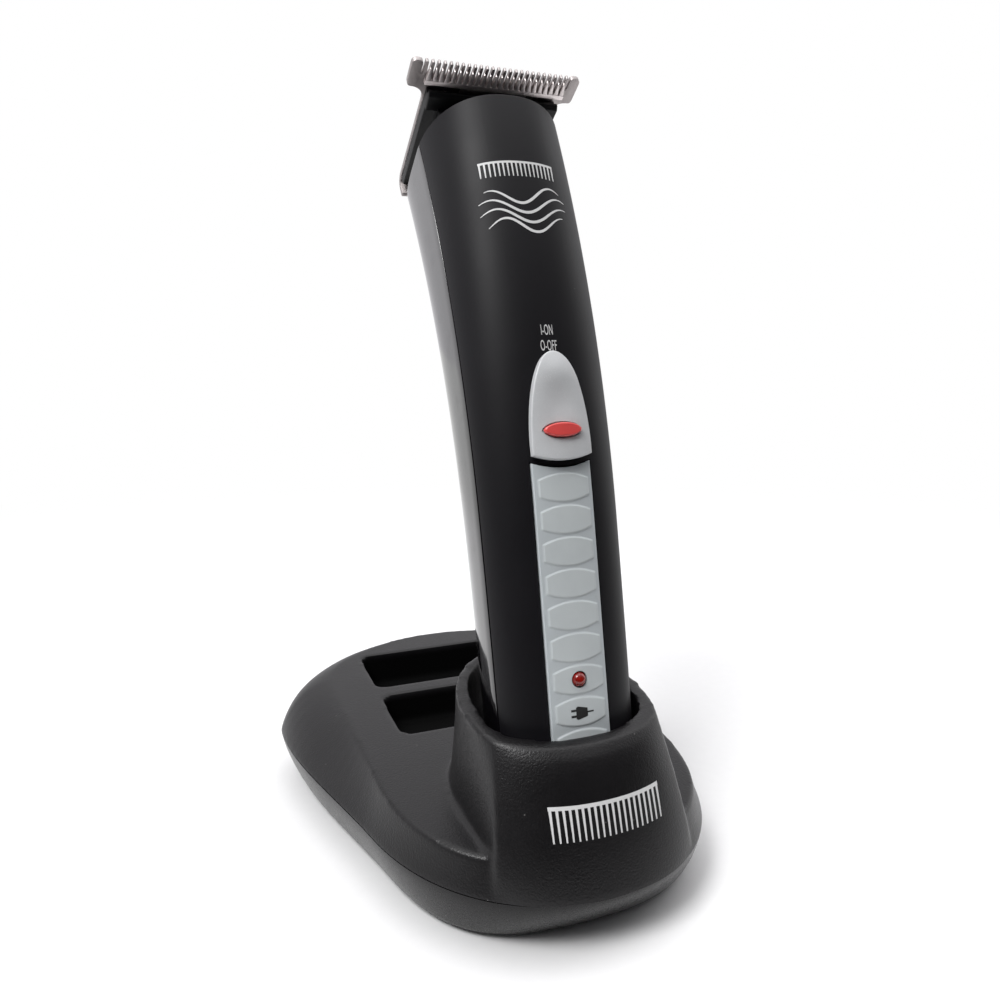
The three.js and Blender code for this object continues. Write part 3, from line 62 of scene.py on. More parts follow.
# ---------- stand ----------
STAND_LENGTH = 125.0
STAND_WIDTH = 104.0
STAND_FRONT = -STAND_LENGTH / 2
STAND_REAR = STAND_LENGTH / 2
PARTING = 12.8               # height of the line between top shell and pan
DECK = 22.3
DECK_RISE = 0.043
STAND_WALL = 2.2
PAN_WALL = 2.0
BAND_BULGE = 2.9
BAND_INSET = 14.5
FOOT_HEIGHT = 1.0
PAN_DRAFT_SIDE = 3.6
PAN_DRAFT_FRONT = 7.5
PAN_DRAFT_POWER = 1.45
PAN_EDGE = 1.1               # rounding of the pan's lower edge
RIM_FRONT = STAND_FRONT + 11.2
RIM_HEIGHT = 39.7
RIM_RISE = 0.14
RIM_HALF_WIDTH = 21.1
TOWER_FOOT_HALF_WIDTH = 23.7
CREASE_X = 22.3
SOCKET_CLEARANCE = 0.8
SOCKET_FLOOR = 2.0
MOUTH_FLARE = 1.6
WELL_HALF_WIDTH = 26.0
WELL_LENGTH = 21.5
WELL_FLOOR = 14.5
WELL_CORNER = 3.0
WELL_REARS = (49.4, 21.9)
STAND_SCREWS = ((33, 27), (-33, 27), (23, -36), (-23, -36))
STAND_FEET = ((38, 36), (-38, 36), (13, -44), (-13, -44))
BOSS_RADIUS = 3.2
BOSS_FOOT = 7.0
BOSS_BORE_TOP = 14.5
STAND_SCREW_RADIUS = 1.3
STAND_SCREW_HEAD = 2.6
STAND_SCREW_HEAD_TOP = 3.2
FOOT_RADIUS = 5.0
FOOT_SUNK = 0.7
JACK_MIDDLE = 7.8
JACK_NOSE_RADIUS = 3.4
JACK_REAR = 54.0

# ---------- handpiece ----------
LEAN = math.radians(11.8)
BODY_LENGTH = 154.0
STRAIGHT_LENGTH = 60.6
BEND_RADIUS = 350.0
BODY_HALF_WIDTH = 15.7
HEAD_HALF_WIDTH = 16.9
BODY_DEPTH = 27.0
HEAD_DEPTH = 38.0
SEAM_LOW = 7.0
SEAM_HIGH = 16.0
SEAM_TO_WIDEST = 2.5
FRONT_POWER = 2.25
BODY_FOOT = np.array([0.0, -50.6, 22.7])
SHELL_WALL = 2.2
FOOT_ROUND = 2.5             # rounding round the bottom of the handpiece
LIP_ROUND = 0.14             # rounding of the shells' free edges
CONTACT_X = 4.5
CONTACT_RADIUS = 2.2
BODY_SCREWS = (6.5, 68.0)
SCREW_RADIUS = 1.0
BODY_SCREW_HEAD = 2.2
BODY_SCREW_SUNK = 0.7        # below the rear surface
BODY_SCREW_HEIGHT = 1.4
BODY_SCREW_RECESS = 2.4
BOSS_OUTER = 2.3             # screw boss in the front shell
SLEEVE_OUTER = 2.9           # sleeve round the screw in the rear shell
BOSS_END = 15.0
STRIP_HALF_WIDTH = 6.6
STRIP_START = 4.0
STRIP_END = 73.5
STRIP_SAG = 1.2              # how far the strip's upper edge dips in the middle
STRIP_DEPTH = 1.0
STRIP_PROUD = 0.4
POCKET_DEPTH = 1.3
PAD_PITCH = 6.57
PAD_TOP = 71.15
PAD_HALF_WIDTH = 5.6
PAD_SIDE_HEIGHT = 1.75       # half height of a pad at its sides
PAD_BOW = 1.2                # how much taller its middle is, above and below
LAMP_AT = 28.8
LAMP_RADIUS = 1.6
LAMP_PROUD = 1.5
LAMP_GAP = 0.12
SWITCH_AT = 74.9
SWITCH_LENGTH = 21.5
SWITCH_TRAVEL = 4.5
SWITCH_LIFT = 0.4
SWITCH_THICKNESS = 1.8
MARK_AT = 4.9
MARK_HALF_WIDTH = 4.2
MARK_HALF_HEIGHT = 1.45
STEM_HALF_WIDTH = 1.5
STEM_HALF_LENGTH = 2.0
STEM_REACH = 4.2

# ---------- blade head, along u from heel to tips and inwards by depth ----------
HEAD_ANGLE = math.radians(33.7)
HEEL = np.array([0.0, 30.2, 159.2])
BLADE_LENGTH = 36.4
BLADE_THICKNESS = 1.2
NECK_HALF_WIDTH = 15.9
TEE_HALF_WIDTH = 20.2
TEE_DEPTH = 6.8
TOOTH_COUNT = 25
TOOTH_PITCH = 1.4
TOOTH_LENGTH = 3.2
MOUTH_DEPTH = 9.5
HEEL_REACH = 5.6
HEEL_BEND = 2.6
CUTTER_SETBACK = 0.9
CUTTER_THICKNESS = 1.4
CUTTER_TOOTH_LENGTH = 2.6
CUTTER_STEM_HALF_WIDTH = 8.0
CUTTER_STEM_END = 11.0
CUTTER_BAR_AT = 31.5
BLADE_SCREW_X = 11.0
BLADE_SCREW_U = 11.5
BLADE_SCREW_HEAD = 2.1
BLADE_SCREW_PROUD = 1.1
BLADE_SCREW_HOLE = 1.3
BLADE_SCREW_END = 6.6
RAIL_HALF_WIDTH = 15.75
RAIL_START = 2.5
LIP_DEPTH = 3.2
LIP_END = 31.0
LIP_START = 26.5
LIP_THICKNESS = 1.5
RAIL_INSET = 3.6             # between the cutter's stem and the rails
TOOTH_EASE = 0.06

# ---------- stage ----------
FLOOR_REACH = 3000.0
FLOOR_FRONT = 150.0
FLOOR_THICKNESS = 0.05
FLOOR_SHEET = 260.0              # the sheet turns into even white beyond this distance
BRIGHT_SIDE = (0.0, 0.75, 0.66)    # the room is white on this side and dark on the other


# ---------- meshes ----------
def new_piece(name, points, faces):
    """A closed mesh from points in millimetres, with doubled points merged and faces turned outwards."""
    mesh = bpy.data.meshes.new(name)
    mesh.from_pydata((np.asarray(points, float) * MM).tolist(), [], np.asarray(faces).tolist()
                     if isinstance(faces, np.ndarray) else faces)
    piece = bpy.data.objects.new(name, mesh)
    bpy.context.scene.collection.objects.link(piece)
    return weld(piece)


def weld(piece, distance=1e-6):
    work = bmesh.new()
    work.from_mesh(piece.data)
    bmesh.ops.remove_doubles(work, verts=work.verts, dist=distance)
    bmesh.ops.dissolve_degenerate(work, edges=work.edges, dist=distance)
    bmesh.ops.recalc_face_normals(work, faces=work.faces)
    work.to_mesh(piece.data)
    work.free()
    return piece


def settle(piece):
    """Makes what a piece's modifiers show its own plain mesh."""
    graph = bpy.context.evaluated_depsgraph_get()
    graph.update()
    made = bpy.data.meshes.new_from_object(piece.evaluated_get(graph))
    piece.modifiers.clear()
    old = piece.data
    piece.data = made
    bpy.data.meshes.remove(old)
    return piece


def combine(piece, other, operation):
    """Joins, cuts or keeps the overlap of a piece with another, which is used up."""
    modifier = piece.modifiers.new("Combine", "BOOLEAN")
    modifier.operation = operation
    modifier.solver = "MANIFOLD"
    modifier.object = other
    before = len(piece.data.vertices)
    settle(piece)
    if len(piece.data.vertices) == 0:
        raise RuntimeError(f"{piece.name} lost its mesh of {before} points in {operation}")
    bpy.data.objects.remove(other)
    return piece


def drop(piece):
    bpy.data.objects.remove(piece)


def joined(pieces):
    """Several separate closed bodies as one object."""
    keep = pieces[0]
    work = bmesh.new()
    for piece in pieces:
        work.from_mesh(piece.data)
    work.to_mesh(keep.data)
    work.free()
    for piece in pieces[1:]:
        drop(piece)
    return keep


def grid_faces(rows, columns, start=0, turned=False):
    r, c = np.meshgrid(np.arange(rows - 1), np.arange(columns - 1), indexing="ij")
    a = start + (r * columns + c).ravel()
    faces = np.stack([a, a + 1, a + columns + 1, a + columns], axis=1)
    return faces[:, ::-1] if turned else faces


def loft(name, rings):
    """A closed body through rings of points, with each end closed round a middle point."""
    count = len(rings[0])
    points = [np.asarray(ring, float) for ring in rings]
    faces = []
    for r in range(len(rings) - 1):
        a = r * count + np.arange(count)
        b = r * count + (np.arange(count) + 1) % count
        faces.append(np.stack([a, b, b + count, a + count], axis=1))
    quads = np.concatenate(faces).tolist()
    hub = len(rings) * count
    last = (len(rings) - 1) * count
    for i in range(count):
        j = (i + 1) % count
        quads.append([hub, j, i])
        quads.append([hub + 1, last + i, last + j])
    points.append(points[0].mean(axis=0)[None])
    points.append(points[-2].mean(axis=0)[None])
    return new_piece(name, np.concatenate(points), quads)


def turned_body(name, profile, centre, up, facets=40):
    """A round body from a profile of radius and height, standing at a centre along a direction."""
    up = np.asarray(up, float) / np.linalg.norm(up)
    side = np.array([1.0, 0, 0])
    across = np.cross(up, side)
    angle = np.arange(facets) * 2 * math.pi / facets
    spoke = np.cos(angle)[:, None] * side + np.sin(angle)[:, None] * across
    rings = [np.asarray(centre) + spoke * radius + up * height for radius, height in profile if radius > 0]
    return loft(name, rings)


def rod(name, radius, centre, up, start, end, facets=32):
    return turned_body(name, [(radius, start), (radius, end)], centre, up, facets)


def box_piece(name, low, high):
    (x0, y0, z0), (x1, y1, z1) = low, high
    ring = [(x0, y0), (x1, y0), (x1, y1), (x0, y1)]
    return loft(name, [[(x, y, z) for x, y in ring] for z in (z0, z1)])


def plate_faces(count):
    """Faces of a body between two copies of an outline with this many points."""
    faces = [list(range(count)), list(range(2 * count - 1, count - 1, -1))]
    for i in range(count):
        j = (i + 1) % count
        faces.append([i, j, count + j, count + i])
    return faces


def prism(name, outline, depths, bevel=0.0):
    """A plate from an outline of x and u, between two depths, with its edges taken off."""
    points = [(x, u, z) for z in depths for x, u in outline]
    piece = new_piece(name, points, plate_faces(len(outline)))
    return eased(piece, bevel) if bevel else piece


def eased(piece, width, segments=2, angle=40):
    """Small rounds on the sharp edges."""
    modifier = piece.modifiers.new("Ease", "BEVEL")
    modifier.width = width * MM
    modifier.segments = segments
    modifier.limit_method = "ANGLE"
    modifier.angle_limit = math.radians(angle)
    modifier.use_clamp_overlap = True
    return settle(piece)


def moved(piece, matrix):
    """Takes a finished mesh from a local frame, in millimetres, to its place."""
    place = Matrix(matrix.tolist())
    for row in range(3):
        place[row][3] *= MM
    piece.data.transform(place)
    return piece


def frame_matrix(x_axis, y_axis, z_axis, origin):
    matrix = np.eye(4)
    matrix[:3, 0] = x_axis
    matrix[:3, 1] = y_axis
    matrix[:3, 2] = z_axis
    matrix[:3, 3] = origin
    return matrix


HEAD_U = np.array([0, -math.cos(HEAD_ANGLE), math.sin(HEAD_ANGLE)])
HEAD_IN = np.array([0, -math.sin(HEAD_ANGLE), -math.cos(HEAD_ANGLE)])
HEAD_FRAME = frame_matrix((1, 0, 0), HEAD_U, HEAD_IN, HEEL)
BODY_UP = np.array([0, math.sin(LEAN), math.cos(LEAN)])
BODY_IN = np.array([0, math.cos(LEAN), -math.sin(LEAN)])


def dress(piece, finish, body, nodes=(), slot=None, sharp=38):
    """Gives a piece its material, its smooth faces and its body, and hides the CAD nodes that it stands for."""
    mesh = piece.data
    mesh.materials.clear()
    mesh.materials.append(finish)
    mesh.polygons.foreach_set("material_index", [0] * len(mesh.polygons))
    mesh.polygons.foreach_set("use_smooth", [True] * len(mesh.polygons))
    mesh.set_sharp_from_angle(angle=math.radians(sharp))
    mesh.update()
    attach(piece, body)
    if nodes:
        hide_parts(*nodes)
    return piece


def softened(node, width, angle=35):
    """A copy of a CAD node, merged into whole faces, with eased edges."""
    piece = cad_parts[node].copy()
    piece.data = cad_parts[node].data.copy()
    piece.name = "eased_" + node
    piece.parent = None
    for key in list(piece.keys()):
        del piece[key]
    bpy.context.scene.collection.objects.link(piece)
    work = bmesh.new()
    work.from_mesh(piece.data)
    bmesh.ops.remove_doubles(work, verts=work.verts, dist=5e-6)
    bmesh.ops.dissolve_limit(work, angle_limit=math.radians(1.5), verts=work.verts, edges=work.edges)
    work.to_mesh(piece.data)
    work.free()
    return eased(piece, width, 2, angle)


# ---------- geometry trees ----------
def geometry_tree(name, inputs):
    tree = bpy.data.node_groups.new(name, "GeometryNodeTree")
    for label, kind in inputs:
        tree.interface.new_socket(label, in_out="INPUT", socket_type=kind)
    tree.interface.new_socket("Geometry", in_out="OUTPUT", socket_type="NodeSocketGeometry")
    return tree, tree.nodes.new("NodeGroupInput"), tree.nodes.new("NodeGroupOutput")


def run_tree(name, tree, values):
    """Runs a geometry tree on an empty mesh and keeps the result as a plain piece."""
    piece = bpy.data.objects.new(name, bpy.data.meshes.new(name))
    bpy.context.scene.collection.objects.link(piece)
    modifier = piece.modifiers.new("Tree", "NODES")
    modifier.node_group = tree
    names = {item.name: item.identifier for item in tree.interface.items_tree if item.in_out == "INPUT"}
    for label, value in values.items():
        modifier[names[label]] = value
    return settle(piece)


def set_out_tree():
    """Copies one object at every point of another."""
    tree, source, result = geometry_tree("Set out at points", [
        ("Points", "NodeSocketObject"), ("Copy", "NodeSocketObject"), ("Material", "NodeSocketMaterial")])
    points = tree.nodes.new("GeometryNodeObjectInfo")
    copy = tree.nodes.new("GeometryNodeObjectInfo")
    spread = tree.nodes.new("GeometryNodeInstanceOnPoints")
    real = tree.nodes.new("GeometryNodeRealizeInstances")
    paint = tree.nodes.new("GeometryNodeSetMaterial")
    link = tree.links.new
    link(source.outputs["Points"], points.inputs["Object"])
    link(source.outputs["Copy"], copy.inputs["Object"])
    link(points.outputs["Geometry"], spread.inputs["Points"])
    link(copy.outputs["Geometry"], spread.inputs["Instance"])
    link(spread.outputs["Instances"], real.inputs["Geometry"])
    link(real.outputs["Geometry"], paint.inputs["Geometry"])
    link(source.outputs["Material"], paint.inputs["Material"])
    link(paint.outputs["Geometry"], result.inputs["Geometry"])
    return tree


def tooth_row_tree():
    """A row of equal teeth along x, grown onto the plate that carries them."""
    tree, source, result = geometry_tree("Tooth row", [
        ("Plate", "NodeSocketObject"), ("Tooth", "NodeSocketObject"), ("Count", "NodeSocketInt"),
        ("First", "NodeSocketVector"), ("Pitch", "NodeSocketVector"), ("Material", "NodeSocketMaterial")])
    plate = tree.nodes.new("GeometryNodeObjectInfo")
    tooth = tree.nodes.new("GeometryNodeObjectInfo")
    line = tree.nodes.new("GeometryNodeMeshLine")
    spread = tree.nodes.new("GeometryNodeInstanceOnPoints")
    real = tree.nodes.new("GeometryNodeRealizeInstances")
    union = tree.nodes.new("GeometryNodeMeshBoolean")
    union.operation = "UNION"
    union.solver = "MANIFOLD"
    whole = tree.nodes.new("GeometryNodeRealizeInstances")
    paint = tree.nodes.new("GeometryNodeSetMaterial")
    link = tree.links.new
    link(source.outputs["Plate"], plate.inputs["Object"])
    link(source.outputs["Tooth"], tooth.inputs["Object"])
    link(source.outputs["Count"], line.inputs["Count"])
    link(source.outputs["First"], line.inputs["Start Location"])
    link(source.outputs["Pitch"], line.inputs["Offset"])
    link(line.outputs["Mesh"], spread.inputs["Points"])
    link(tooth.outputs["Geometry"], spread.inputs["Instance"])
    link(spread.outputs["Instances"], real.inputs["Geometry"])
    link(real.outputs["Geometry"], union.inputs["Mesh 2"])
    link(plate.outputs["Geometry"], union.inputs["Mesh 2"])
    link(union.outputs["Mesh"], whole.inputs["Geometry"])
    link(whole.outputs["Geometry"], paint.inputs["Geometry"])
    link(source.outputs["Material"], paint.inputs["Material"])
    link(paint.outputs["Geometry"], result.inputs["Geometry"])
    return tree


# ---------- materials ----------
class Field:
    """A shader value that ordinary arithmetic works on."""

    def __init__(self, recipe, socket):
        self.recipe = recipe
        self.socket = socket

    def _math(self, operation, first, second):
        return self.recipe.make("ShaderNodeMath", {"operation": operation}, {0: first, 1: second})

    def __add__(self, other):
        return self._math("ADD", self, other)

    __radd__ = __add__

    def __sub__(self, other):
        return self._math("SUBTRACT", self, other)

    def __rsub__(self, other):
        return self._math("SUBTRACT", other, self)

    def __mul__(self, other):
        return self._math("MULTIPLY", self, other)

    __rmul__ = __mul__

    def between(self, low, high):
        """0 below low, 1 above high and a smooth rise between them."""
        return self.recipe.make("ShaderNodeMapRange", {"interpolation_type": "SMOOTHSTEP"}, {
            "Value": self, "From Min": low, "From Max": high})


class Recipe:
    """A procedural material in the making, on the piece's own coordinates."""

    def __init__(self, name):
        self.material = bpy.data.materials.new(name)
        self.material.use_nodes = True
        self.tree = self.material.node_tree
        self.tree.nodes.clear()
        self.place = self.make("ShaderNodeTexCoord", {}, {}, "Object")

    def make(self, kind, settings, inputs, output=0):
        node = self.tree.nodes.new(kind)
        for key, value in settings.items():
            setattr(node, key, value)
        for key, value in inputs.items():
            if isinstance(value, Field):
                self.tree.links.new(value.socket, node.inputs[key])
            else:
                node.inputs[key].default_value = value
        return Field(self, node.outputs[output])

    def stretched(self, scale):
        return self.make("ShaderNodeMapping", {}, {"Vector": self.place, "Scale": scale})

    def noise(self, size, detail=3.0, rough=0.55, stretch=None):
        """Soft noise whose features are about size millimetres across."""
        where = self.stretched(stretch) if stretch else self.place
        return self.make("ShaderNodeTexNoise", {}, {
            "Vector": where, "Scale": 1 / (size * MM), "Detail": detail, "Roughness": rough})

    def specks(self, size, reach):
        """Rare dots: a cell pattern of size millimetres, each dot a share of its cell across."""
        distance = self.make("ShaderNodeTexVoronoi", {}, {"Vector": self.place, "Scale": 1 / (size * MM)})
        return 1 - distance.between(reach * 0.6, reach)

    def blend(self, first, second, amount):
        return self.make("ShaderNodeMix", {"data_type": "RGBA"}, {
            "Factor": amount, 6: first, 7: second}, 2)

    def bump(self, height, depth, strength=1.0):
        """Relief of a height field, depth millimetres from its lowest to its highest."""
        return self.make("ShaderNodeBump", {}, {
            "Strength": strength, "Distance": depth * MM, "Height": height})

    def principled(self, **values):
        """The common surface shader; names have _ for a space."""
        named = {key.replace("_", " "): value for key, value in values.items()}
        return self.make("ShaderNodeBsdfPrincipled", {}, named)

    def mixed(self, first, second, amount):
        return self.make("ShaderNodeMixShader", {}, {0: amount, 1: first, 2: second})

    def surface(self, **values):
        return self.close(self.principled(**values))

    def close(self, shader):
        output = self.tree.nodes.new("ShaderNodeOutputMaterial")
        self.tree.links.new(shader.socket, output.inputs["Surface"])
        return self.material


def rgba(color):
    return (color[0], color[1], color[2], 1.0)


def scaled(color, factor):
    return tuple(min(1.0, channel * factor) for channel in color)


def grained_black(name, color, roughness, level, grain_size, grain_depth, shade_mask=None):
    """Moulded black plastic with a spark-eroded grain, faint mottling, rub marks and dust, and painted shade
    where a shade mask is given.
    """
    r = Recipe(name)
    grain = r.noise(grain_size, 2.0, 0.6)
    mottle = r.noise(16.0, 4.0, 0.6).between(0.35, 0.7)
    rub = r.noise(5.0, 5.0, 0.7, (1.0, 1.0, 2.5)).between(0.56, 0.72)
    dust = r.specks(5.0, 0.035)
    base = r.blend(rgba(color), rgba(scaled(color, 1.35)), mottle)
    base = r.blend(base, rgba((0.16, 0.155, 0.15)), dust * 0.6)
    shine = roughness + grain * 0.12 - rub * 0.05 + mottle * 0.03
    skin = r.principled(Base_Color=base, Roughness=shine, Specular_IOR_Level=level,
                        Normal=r.bump(grain, grain_depth))
    if not shade_mask:
        return r.close(skin)
    # painted shade: near-black, rough and with little reflection where the mask is 1, so the wells look unlit
    painted_shade = r.principled(Base_Color=r.blend(rgba((0.001, 0.001, 0.001)), rgba((0.002, 0.002, 0.002)), grain),
                        Roughness=0.85, Specular_IOR_Level=0.06, Normal=r.bump(grain, grain_depth))
    return r.close(r.mixed(skin, painted_shade, shade_mask(r)))


def painted_well_shade(r):
    """Where shade is painted on the stand: 1 inside the two wells below the deck and 0 elsewhere."""
    split = r.tree.nodes.new("ShaderNodeSeparateXYZ")
    r.tree.links.new(r.place.socket, split.inputs[0])
    x, y, z = (Field(r, split.outputs[k]) for k in range(3))
    across = r.make("ShaderNodeMath", {"operation": "ABSOLUTE"}, {0: x})
    wide = 1 - across.between((WELL_HALF_WIDTH + 0.2) * MM, (WELL_HALF_WIDTH + 0.5) * MM)
    front = WELL_REARS[1] - WELL_LENGTH
    along = y.between((front - 0.5) * MM, (front - 0.2) * MM)
    along = along * (1 - y.between((WELL_REARS[0] + 0.2) * MM, (WELL_REARS[0] + 0.5) * MM))
    low = 1 - (z - y * DECK_RISE).between((DECK - 2.4) * MM, (DECK - 0.9) * MM)
    return wide * along * low


def satin_black(name, color, roughness, level):
    """Soft-touch lacquer: very fine tooth, slow changes of sheen and a few hairline marks."""
    r = Recipe(name)
    tooth = r.noise(0.22, 2.0, 0.55)
    cloud = r.noise(22.0, 3.0, 0.5).between(0.3, 0.75)
    hair = r.noise(0.8, 2.0, 0.5, (1.0, 1.0, 0.035)).between(0.7, 0.78)
    dust = r.specks(7.0, 0.02)
    base = r.blend(rgba(color), rgba(scaled(color, 1.25)), cloud)
    base = r.blend(base, rgba((0.14, 0.14, 0.14)), dust * 0.5)
    shine = roughness + cloud * 0.05 + tooth * 0.08 - hair * 0.05
    return r.surface(Base_Color=base, Roughness=shine, Specular_IOR_Level=level,
                     Normal=r.bump(tooth + hair * -0.5, 0.014))


def gloss_black(name, color, roughness, depth=0.012):
    """Polished moulding: gentle flow waviness, faint finger haze and hairline scratches."""
    r = Recipe(name)
    wave = r.noise(13.0, 1.0, 0.4)
    haze = r.noise(7.0, 4.0, 0.65).between(0.5, 0.8)
    hair = r.noise(0.5, 2.0, 0.5, (1.0, 1.0, 0.02)).between(0.74, 0.8)
    base = r.blend(rgba(color), rgba(scaled(color, 1.6)), haze)
    shine = roughness + haze * 0.07 + hair * 0.05
    return r.surface(Base_Color=base, Roughness=shine, Coat_Weight=0.5 - haze * 0.2, Coat_Roughness=0.05,
                     Normal=r.bump(wave, depth))


def grip_plastic(name, color, pad_color, roughness):
    """Pale grey rubbery plastic; the raised pads are a touch warmer and the hollows hold a little grime."""
    r = Recipe(name)
    pad = r.make("ShaderNodeAttribute", {"attribute_name": "pad"}, {}, "Fac")
    cloud = r.noise(9.0, 4.0, 0.6).between(0.3, 0.75)
    tooth = r.noise(0.3, 2.0, 0.5)
    base = r.blend(rgba(color), rgba(pad_color), pad)
    base = r.blend(base, rgba(scaled(color, 0.9)), cloud * 0.35)
    grime = r.noise(1.6, 3.0, 0.6).between(0.62, 0.8)
    base = r.blend(base, rgba((0.22, 0.23, 0.23)), (1 - pad) * grime * 0.3)
    shine = roughness + tooth * 0.08 - cloud * 0.05
    return r.surface(Base_Color=base, Roughness=shine, Normal=r.bump(tooth, 0.008),
                     Subsurface_Weight=0.08, Subsurface_Radius=(1.0, 1.0, 1.0), Subsurface_Scale=0.0006)


def painted_plastic(name, color, roughness, flake=0.0):
    """Smooth painted plastic with fine flakes and slight unevenness."""
    r = Recipe(name)
    cloud = r.noise(8.0, 3.0, 0.5).between(0.3, 0.7)
    spark = r.noise(0.12, 1.0, 0.5)
    base = r.blend(rgba(scaled(color, 0.94)), rgba(scaled(color, 1.04)), cloud)
    base = r.blend(base, rgba(scaled(color, 1.5)), spark.between(0.6, 0.75) * flake)
    shine = roughness + cloud * 0.04 + spark * 0.06
    return r.surface(Base_Color=base, Roughness=shine, Metallic=spark.between(0.5, 0.8) * flake * 0.6,
                     Coat_Weight=0.25 + cloud * 0.1, Coat_Roughness=0.2, Normal=r.bump(spark, 0.006))


def lens_plastic(name, color, deep, roughness):
    """Clear dyed plastic that looks darker and richer below a glossy skin."""
    r = Recipe(name)
    core = r.noise(1.2, 2.0, 0.5).between(0.35, 0.7)
    base = r.blend(rgba(color), rgba(deep), core * 0.6)
    shine = roughness + r.noise(0.6, 2.0, 0.5) * 0.05
    return r.surface(Base_Color=base, Roughness=shine, Coat_Weight=0.2 + core * 0.1, Coat_Roughness=0.04,
                     Subsurface_Weight=0.15, Subsurface_Radius=(1.0, 0.3, 0.2), Subsurface_Scale=0.001,
                     Normal=r.bump(core, 0.01))


def ground_steel(name, color, roughness, along, size=0.12):
    """Ground and tumbled steel: fine lines along one direction, soft stains and small nicks."""
    r = Recipe(name)
    lines = r.noise(size, 3.0, 0.6, along)
    stain = r.noise(6.0, 4.0, 0.65).between(0.4, 0.75)
    nick = r.noise(0.5, 2.0, 0.5).between(0.68, 0.78)
    base = r.blend(rgba(color), rgba(scaled(color, 0.78)), stain * 0.7)
    base = r.blend(base, rgba(scaled(color, 1.18)), lines.between(0.5, 0.8) * 0.5)
    shine = roughness + lines * 0.12 + stain * 0.08
    return r.surface(Base_Color=base, Metallic=1.0, Roughness=shine, Normal=r.bump(lines - nick * 0.6, 0.01))


def circuit_green(name):
    """Solder mask over copper, with tracks just showing as lighter lines."""
    r = Recipe(name)
    tracks = r.make("ShaderNodeTexBrick", {}, {
        "Vector": r.place, "Scale": 1 / (2.4 * MM), "Mortar Size": 0.09, "Mortar Smooth": 0.3}, "Fac")
    cloud = r.noise(3.0, 3.0, 0.6)
    base = r.blend(rgba((0.008, 0.1, 0.03)), rgba((0.03, 0.2, 0.07)), tracks)
    return r.surface(Base_Color=base, Roughness=0.25 + cloud * 0.2, Normal=r.bump(tracks, 0.03))


def sleeve_plastic(name, color):
    """Shrink sleeve: printed film with fine creases along it."""
    r = Recipe(name)
    crease = r.noise(0.7, 3.0, 0.6, (1.0, 1.0, 0.15))
    base = r.blend(rgba(color), rgba(scaled(color, 0.7)), crease.between(0.45, 0.7) * 0.6)
    return r.surface(Base_Color=base, Roughness=0.3 + crease * 0.15, Normal=r.bump(crease, 0.05))


def dull_rubber(name):
    r = Recipe(name)
    tooth = r.noise(0.35, 3.0, 0.6)
    base = r.blend(rgba((0.012, 0.012, 0.012)), rgba((0.03, 0.03, 0.03)), tooth.between(0.4, 0.7))
    return r.surface(Base_Color=base, Roughness=0.8 + tooth * 0.15, Normal=r.bump(tooth, 0.05))


def printing_ink(name, color):
    r = Recipe(name)
    cover = r.noise(0.25, 3.0, 0.6)
    base = r.blend(rgba(color), rgba(scaled(color, 0.75)), cover.between(0.5, 0.8) * 0.5)
    return r.surface(Base_Color=base, Roughness=0.45 + cover * 0.15, Normal=r.bump(cover, 0.004))


FINISHES = {}


def make_finishes(colors):
    """Every material of the object, from the colours that the panel lists and the sheens given here."""
    FINISHES.update({
        # the stand's finish also paints shade inside the two wells
        "stand": grained_black("Stand grain and painted shade", colors.stand, 0.3, 0.34, 0.42, 0.075, painted_well_shade),
        "pan": grained_black("Pan moulding", colors.pan, 0.2, 0.26, 0.5, 0.012),
        "front": satin_black("Front lacquer", colors.front, 0.44, 0.2),
        "holder": satin_black("Holder moulding", (0.004, 0.004, 0.0045), 0.4, 0.2),
        "rear": gloss_black("Rear gloss", colors.rear, 0.1),
        "grip": grip_plastic("Grip grey", colors.grip, colors.pad, 0.42),
        "button": painted_plastic("Switch grey", colors.button, 0.34, 0.5),
        "mark": painted_plastic("Switch red", colors.mark, 0.3),
        "lamp": lens_plastic("Lamp red", colors.lamp, scaled(colors.lamp, 0.25), 0.12),
        "steel": ground_steel("Comb steel", colors.steel, 0.46, (0.06, 1.0, 1.0)),
        "cutter": ground_steel("Cutter steel", scaled(colors.steel, 1.95), 0.42, (1.0, 0.08, 0.08)),
        "fastener": ground_steel("Fastener steel", scaled(colors.steel, 0.85), 0.3, (0.2, 0.2, 1.0)),
        "motor": ground_steel("Motor steel", colors.steel, 0.32, (0.1, 1.0, 1.0)),
        "nickel": ground_steel("Nickel plate", (0.55, 0.52, 0.47), 0.2, (1.0, 1.0, 0.2)),
        "brass": ground_steel("Contact gilding", (0.6, 0.4, 0.14), 0.22, (1.0, 0.2, 1.0)),
        "black": gloss_black("Black moulding", (0.006, 0.006, 0.0065), 0.2, 0.006),
        "white": painted_plastic("White moulding", (0.72, 0.68, 0.6), 0.4),
        "board": circuit_green("Circuit board"),
        "sleeve": sleeve_plastic("Cell sleeve", (0.045, 0.2, 0.07)),
        "rubber": dull_rubber("Foot rubber"),
        "ink": printing_ink("White print", (0.62, 0.62, 0.62)),
        "dark_ink": printing_ink("Dark print", (0.012, 0.012, 0.012)),
    })


# ---------- handpiece form ----------
def lean_at(s):
    return LEAN + np.maximum(0, np.asarray(s, float) - STRAIGHT_LENGTH) / BEND_RADIUS


def body_point(s, x, depth):
    """Points at x across and a depth behind the front line, at heights s along that line."""
    s, x, depth = np.broadcast_arrays(np.asarray(s, float), x, depth)
    straight = np.minimum(s, STRAIGHT_LENGTH)
    lean = lean_at(s)
    y = BODY_FOOT[1] + straight * math.sin(LEAN) + BEND_RADIUS * (math.cos(LEAN) - np.cos(lean))
    z = BODY_FOOT[2] + straight * math.cos(LEAN) + BEND_RADIUS * (np.sin(lean) - math.sin(LEAN))
    return np.stack([x, y + depth * np.cos(lean), z - depth * np.sin(lean)], axis=-1)


